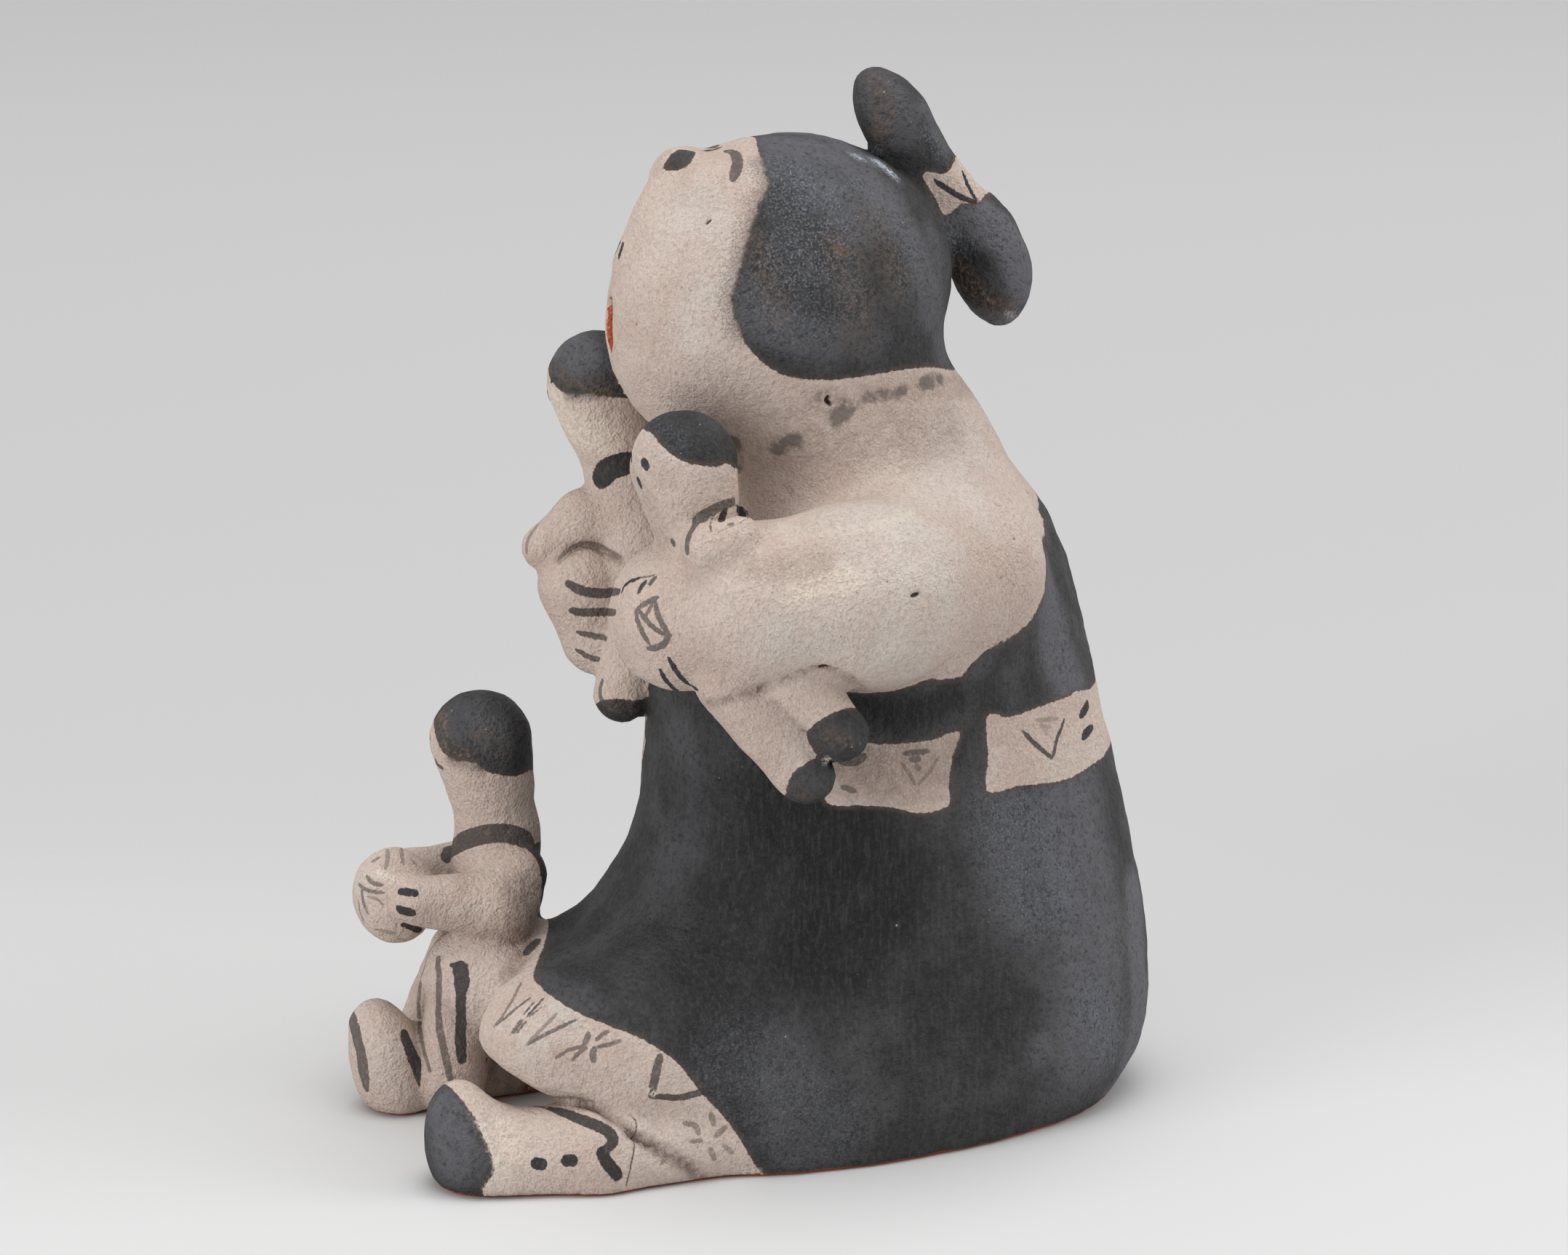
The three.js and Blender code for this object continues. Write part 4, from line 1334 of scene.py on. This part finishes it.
# Grey dust with painted sheen on the black.
DUST_AND_SHEEN_GREY = (0.118, 0.118, 0.132, 1)
BLACK_BRUSHED = (0.095, 0.092, 0.094, 1)
BLACK_STREAK = (0.105, 0.103, 0.11, 1)
BLACK_HOLLOW = (0.013, 0.013, 0.014, 1)
RUBBED = (0.105, 0.074, 0.054, 1)
RUBBED_THROUGH = (0.21, 0.150, 0.108, 1)
FROST = (0.22, 0.25, 0.31, 1)
SALT = (0.47, 0.51, 0.57, 1)
RED_STAIN_ON_BLACK = (0.20, 0.09, 0.045, 1)
GREY_SPOT = (0.30, 0.29, 0.275, 1)
BROWN_EDGE = (0.090, 0.064, 0.050, 1)
THIN_INK = (0.125, 0.092, 0.078, 1)
FULL_INK = (0.040, 0.037, 0.037, 1)
CHALK = (0.66, 0.59, 0.51, 1)
RED = (0.42, 0.085, 0.035, 1)
# The red slip in painted shade.
RED_IN_PAINTED_SHADE = (0.13, 0.025, 0.012, 1)
# Painted shade in pits and cracks.
PIT_PAINTED_SHADE = (0.035, 0.022, 0.018, 1)
material = bpy.data.materials.new("fired_painted_clay")
material.use_nodes = True
tree = material.node_tree
shader = tree.nodes["Principled BSDF"]
coords = tree.nodes.new("ShaderNodeTexCoord")


def link(source, socket):
    """Joins an output to an input."""
    tree.links.new(source, socket)


def put(socket, value):
    """Links a value to a socket, or sets it there where it is a plain number or colour."""
    if isinstance(value, bpy.types.NodeSocket):
        link(value, socket)
    else:
        socket.default_value = value


def attribute(name):
    """One of the values kept at every point of the clay."""
    node = tree.nodes.new("ShaderNodeAttribute")
    node.attribute_name = name
    return node.outputs["Fac"]


def calc(kind, a, b=0.0, c=0.0, clamp=False):
    """One step of arithmetic on values."""
    node = tree.nodes.new("ShaderNodeMath")
    node.operation = kind
    node.use_clamp = clamp
    for socket, value in zip(node.inputs, (a, b, c)):
        put(socket, value)
    return node.outputs[0]


def times(a, b, clamp=False):
    """One value times another."""
    return calc("MULTIPLY", a, b, clamp=clamp)


def varied(noise_here, gain, base):
    """A base value that goes up and down with a noise."""
    return calc("MULTIPLY_ADD", calc("SUBTRACT", noise_here, 0.5), gain, base)


def grain(size, detail=2.0, roughness=0.5, stretch=None):
    """Noise with features of a size in mm, about 0.5."""
    node = tree.nodes.new("ShaderNodeTexNoise")
    node.inputs["Scale"].default_value = 1 / (size * MM)
    node.inputs["Detail"].default_value = detail
    node.inputs["Roughness"].default_value = roughness
    vector = coords.outputs["Object"]
    if stretch:
        mapping = tree.nodes.new("ShaderNodeMapping")
        mapping.inputs["Scale"].default_value = stretch
        link(vector, mapping.inputs["Vector"])
        vector = mapping.outputs[0]
    link(vector, node.inputs["Vector"])
    return node.outputs["Fac"]


def ramp(value, low, high, bottom=0.0, top=1.0):
    """A soft step from bottom to top as a value goes from low to high."""
    node = tree.nodes.new("ShaderNodeMapRange")
    node.interpolation_type = "SMOOTHSTEP"
    limits = {"Value": value, "From Min": low, "From Max": high, "To Min": bottom, "To Max": top}
    for name, limit in limits.items():
        put(node.inputs[name], limit)
    return node.outputs["Result"]


def blend(share, first, second):
    """A colour between two. The Mix node has its sockets for colours at 6 and 7."""
    node = tree.nodes.new("ShaderNodeMix")
    node.data_type = "RGBA"
    put(node.inputs[0], share)
    put(node.inputs[6], first)
    put(node.inputs[7], second)
    return node.outputs[2]


def coated(colour, coats_over):
    """A colour with others over it, each with its share."""
    for share, over in coats_over:
        colour = blend(share, colour, over)
    return colour


def dots(size, radius, share):
    """Small round spots in a share of the cells of a size in mm, 1 inside and 0 between."""
    node = tree.nodes.new("ShaderNodeTexVoronoi")
    node.inputs["Scale"].default_value = 1 / (size * MM)
    link(coords.outputs["Object"], node.inputs["Vector"])
    chosen = tree.nodes.new("ShaderNodeSeparateColor")
    link(node.outputs["Color"], chosen.inputs[0])
    spot = ramp(node.outputs["Distance"], radius / size, radius / size * 0.6)
    return times(spot, ramp(chosen.outputs[0], share + 0.02, share))


here = {name: attribute(name) for name in layers}
fine = grain(0.5, 3)
felt = grain(1.0, 3, 0.6)
coarse = grain(2.2, 3)
broad = grain(9, 3)
wide = grain(26, 2)
streak = grain(0.8, 3, 0.6, (1, 1, 0.14))

# Pale pink slip over a sandy clay, blotched, washed thin and chalky, with painted shade in patches and
# creases.
smudge = times(ramp(varied(coarse, 2.4, here["smudge"]), 0.2, 1.2), ramp(here["smudge"], 0.0, 0.3))
speckle = times(here["speckle"], ramp(here["slip"], 6.5, 0.2))
speckle = times(speckle, ramp(grain(0.4, 3), 0.46, 0.6))
haze = times(here["speckle"], ramp(here["slip"], 3.2, 0.0))
pink = coated(blend(ramp(wide, 0.35, 0.65), SANDY_PINK, FULL_PINK), [
    (ramp(broad, 0.42, 0.72, 0, 0.55), LIGHT_PINK),
    (times(here["pale"], ramp(broad, 0.3, 0.6, 0.45, 0.95)), WASHED_PALE),
    (times(here["cream"], ramp(felt, 0.3, 0.6, 0.5, 0.95)), CREAM),
    # Painted shade in patches.
    (times(here["painted_shade"], ramp(coarse, 0.25, 0.7, 0.45, 1.0)), PAINTED_SHADE_BROWN),
    # Painted shade in shut-in creases.
    (ramp(here["pinch"], 0.92, 1.45, 0, 0.8), CREASE_PAINTED_SHADE),
    # The red slip under the hem in painted shade.
    (here["red_in_shade_and_stain"], RED_SLIP_IN_PAINTED_SHADE),
    (ramp(felt, 0.34, 0.56, 0.28, 0.0), SAND_SHADE),
    (ramp(fine, 0.5, 0.68, 0.0, 0.30), SAND_LIGHT),
    (ramp(grain(0.35, 2), 0.62, 0.72, 0.0, 0.35), SAND_GRAIN),
    (times(smudge, 0.85), SMUDGE),
    (times(speckle, 0.7), SPECKLE),
    (times(haze, 0.55), HAZE),
    (times(dots(2.3, 0.17, 0.25), 0.6), DARK_SPOT),
    (times(dots(3.3, 0.3, 0.25), 0.6), PALE_SPOT),
])

# Charcoal slip, rubbed brown, greyed by dust and painted sheen, darkened by painted shade in patches, and
# frosted with blue-white specks.
rub = times(here["rub"], ramp(felt, 0.38, 0.6, 0.2, 1.0), clamp=True)
through = times(calc("SUBTRACT", here["rub"], 0.55, clamp=True), ramp(felt, 0.5, 0.7))
frost = times(here["frost"], ramp(grain(0.5, 4, 0.65), 0.47, 0.74), clamp=True)
rim = times(ramp(here["slip"], -1.3, -0.1), ramp(coarse, 0.35, 0.6, 0.25, 0.8))
black = coated(blend(ramp(broad, 0.35, 0.7), CHARCOAL, THIN_CHARCOAL), [
    # Painted shade on the black.
    (times(here["deep"], 0.9), BLACK_IN_PAINTED_SHADE),
    # Grey dust with painted sheen.
    (times(here["dust_and_sheen"], ramp(coarse, 0.25, 0.65, 0.6, 1.0), clamp=True), DUST_AND_SHEEN_GREY),
    (ramp(felt, 0.46, 0.72, 0.0, 0.16), BLACK_BRUSHED),
    (ramp(streak, 0.44, 0.72, 0.0, 0.22), BLACK_STREAK),
    (ramp(felt, 0.3, 0.5, 0.55, 0.0), BLACK_HOLLOW),
    (times(rub, 0.6), RUBBED),
    (through, RUBBED_THROUGH),
    (times(frost, 0.7), FROST),
    (times(here["salt"], ramp(fine, 0.36, 0.58), clamp=True), SALT),
    (times(here["red_in_shade_and_stain"], 0.8), RED_STAIN_ON_BLACK),
    (times(dots(4.0, 0.2, 0.25), 0.4), GREY_SPOT),
    (rim, BROWN_EDGE),
])

# The edge between the two slips is ragged, more so where the black has gone speckled.
uneven = calc("MULTIPLY_ADD", here["speckle"], 0.9, 0.8)
ragged = times(calc("SUBTRACT", grain(1.0, 4, 0.6), 0.5), uneven)
softness = calc("MULTIPLY_ADD", here["speckle"], 0.5, 0.12)
slip_here = calc("DIVIDE", calc("ADD", here["slip"], ragged), softness)
is_black = ramp(slip_here, 1.0, -1.0)

# Brush strokes are thin and brown where the brush ran dry, and dark where it was full.
thin = times(calc("SUBTRACT", grain(0.6, 3), 0.5), 0.6)
brush_edge = ramp(calc("ADD", here["brush"], thin), 0.1, -0.14)
thinnest = ramp(here["strength"], 0.6, 1.0, 0.45, 0.92)
paint = times(brush_edge, times(here["strength"], ramp(felt, 0.3, 0.52, thinnest, 1.0)))
ink = blend(ramp(here["strength"], 0.55, 0.95), THIN_INK, FULL_INK)

# Chips and chalk lie over both, and so do the red slip, painted darker as shade where it is shut in, and
# the painted shade of pits and cracks.
chipped = times(here["chalk"], ramp(fine, 0.40, 0.54), clamp=True)
chipped = calc("MAXIMUM", chipped, ramp(here["fleck"], 0.1, -0.1, 0.0, 0.7))
# The red slip is painted darker where shut in, as painted shade.
red_slip = blend(ramp(here["pinch"], 0.6, 1.2), RED, RED_IN_PAINTED_SHADE)
colour = coated(blend(is_black, pink, black), [
    (paint, ink),
    (chipped, CHALK),
    (ramp(calc("ADD", here["red"], ragged), 0.1, -0.15), red_slip),
    # Painted shade in pits and cracks.
    (ramp(here["pit"], 0.1, -0.15, 0, 0.9), PIT_PAINTED_SHADE),
])
link(colour, shader.inputs["Base Color"])
link(varied(coarse, 0.25, ramp(is_black, 0.0, 1.0, 0.92, 0.68)), shader.inputs["Roughness"])
shader.inputs["Specular IOR Level"].default_value = 0.3

# Grain of the clay, each with its height.
relief = times(fine, 0.24 * MM)
for grains, height in ((felt, 0.62), (coarse, 0.75), (dots(1.9, 0.28, 0.3), -0.2)):
    relief = calc("MULTIPLY_ADD", grains, height * MM, relief)
bump = tree.nodes.new("ShaderNodeBump")
bump.inputs["Distance"].default_value = 1.0
bump.inputs["Strength"].default_value = 1.0
link(relief, bump.inputs["Height"])
link(bump.outputs[0], shader.inputs["Normal"])
mesh.materials.append(material)

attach(clay, "root")
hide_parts("storyteller")

# The floor
# A wide sweep of pale paper that lies flat under the figure. Its colour is painted a little greyer
# behind the figure as shade, and lighter again far off as painted light.
PAPER = (0.650, 0.650, 0.650, 1)
PAPER_IN_PAINTED_SHADE = (0.530, 0.530, 0.530, 1)
PAPER_IN_PAINTED_LIGHT = (0.565, 0.565, 0.565, 1)
FARTHER = (-0.94, 0.34, 0)
bpy.ops.mesh.primitive_plane_add(size=16)
floor = bpy.context.object
floor.name = "floor"
paper = bpy.data.materials.new("pale_paper")
paper.use_nodes = True
tree = paper.node_tree
coords = tree.nodes.new("ShaderNodeTexCoord")
behind = tree.nodes.new("ShaderNodeVectorMath")
behind.operation = "DOT_PRODUCT"
link(coords.outputs["Object"], behind.inputs[0])
behind.inputs[1].default_value = FARTHER
distance = behind.outputs["Value"]
paper_colour = blend(ramp(distance, -0.08, 0.25), PAPER, PAPER_IN_PAINTED_SHADE)
paper_colour = blend(ramp(distance, 0.35, 1.3), paper_colour, PAPER_IN_PAINTED_LIGHT)
paper_shader = tree.nodes["Principled BSDF"]
link(paper_colour, paper_shader.inputs["Base Color"])
paper_shader.inputs["Roughness"].default_value = 0.95
paper_shader.inputs["Specular IOR Level"].default_value = 0.0
floor.data.materials.append(paper)

# The light
# A wide soft light overhead, a weaker one low on the left of the picture, one from behind on the
# right, and even light all round.


def soft_light(name, position, size, power):
    """A square light in metres and watts, turned to the figure."""
    lamp = bpy.data.lights.new(name, "AREA")
    lamp.size = size
    lamp.energy = power
    holder = bpy.data.objects.new(name, lamp)
    holder.location = position
    holder.rotation_euler = (Vector((0, 0, 0.1)) - Vector(position)).to_track_quat("-Z", "Y").to_euler()
    bpy.context.scene.collection.objects.link(holder)


soft_light("overhead", (0.3, 0.1, 3.2), size=2.2, power=58)
soft_light("window", (1.0, -2.9, 0.8), size=1.8, power=48)
soft_light("behind", (1.2, 2.6, 1.6), size=1.8, power=34)
world = bpy.data.worlds.new("even_light")
bpy.context.scene.world = world
world.use_nodes = True
background = world.node_tree.nodes["Background"]
background.inputs["Color"].default_value = (1, 1, 1, 1)
background.inputs["Strength"].default_value = 0.52
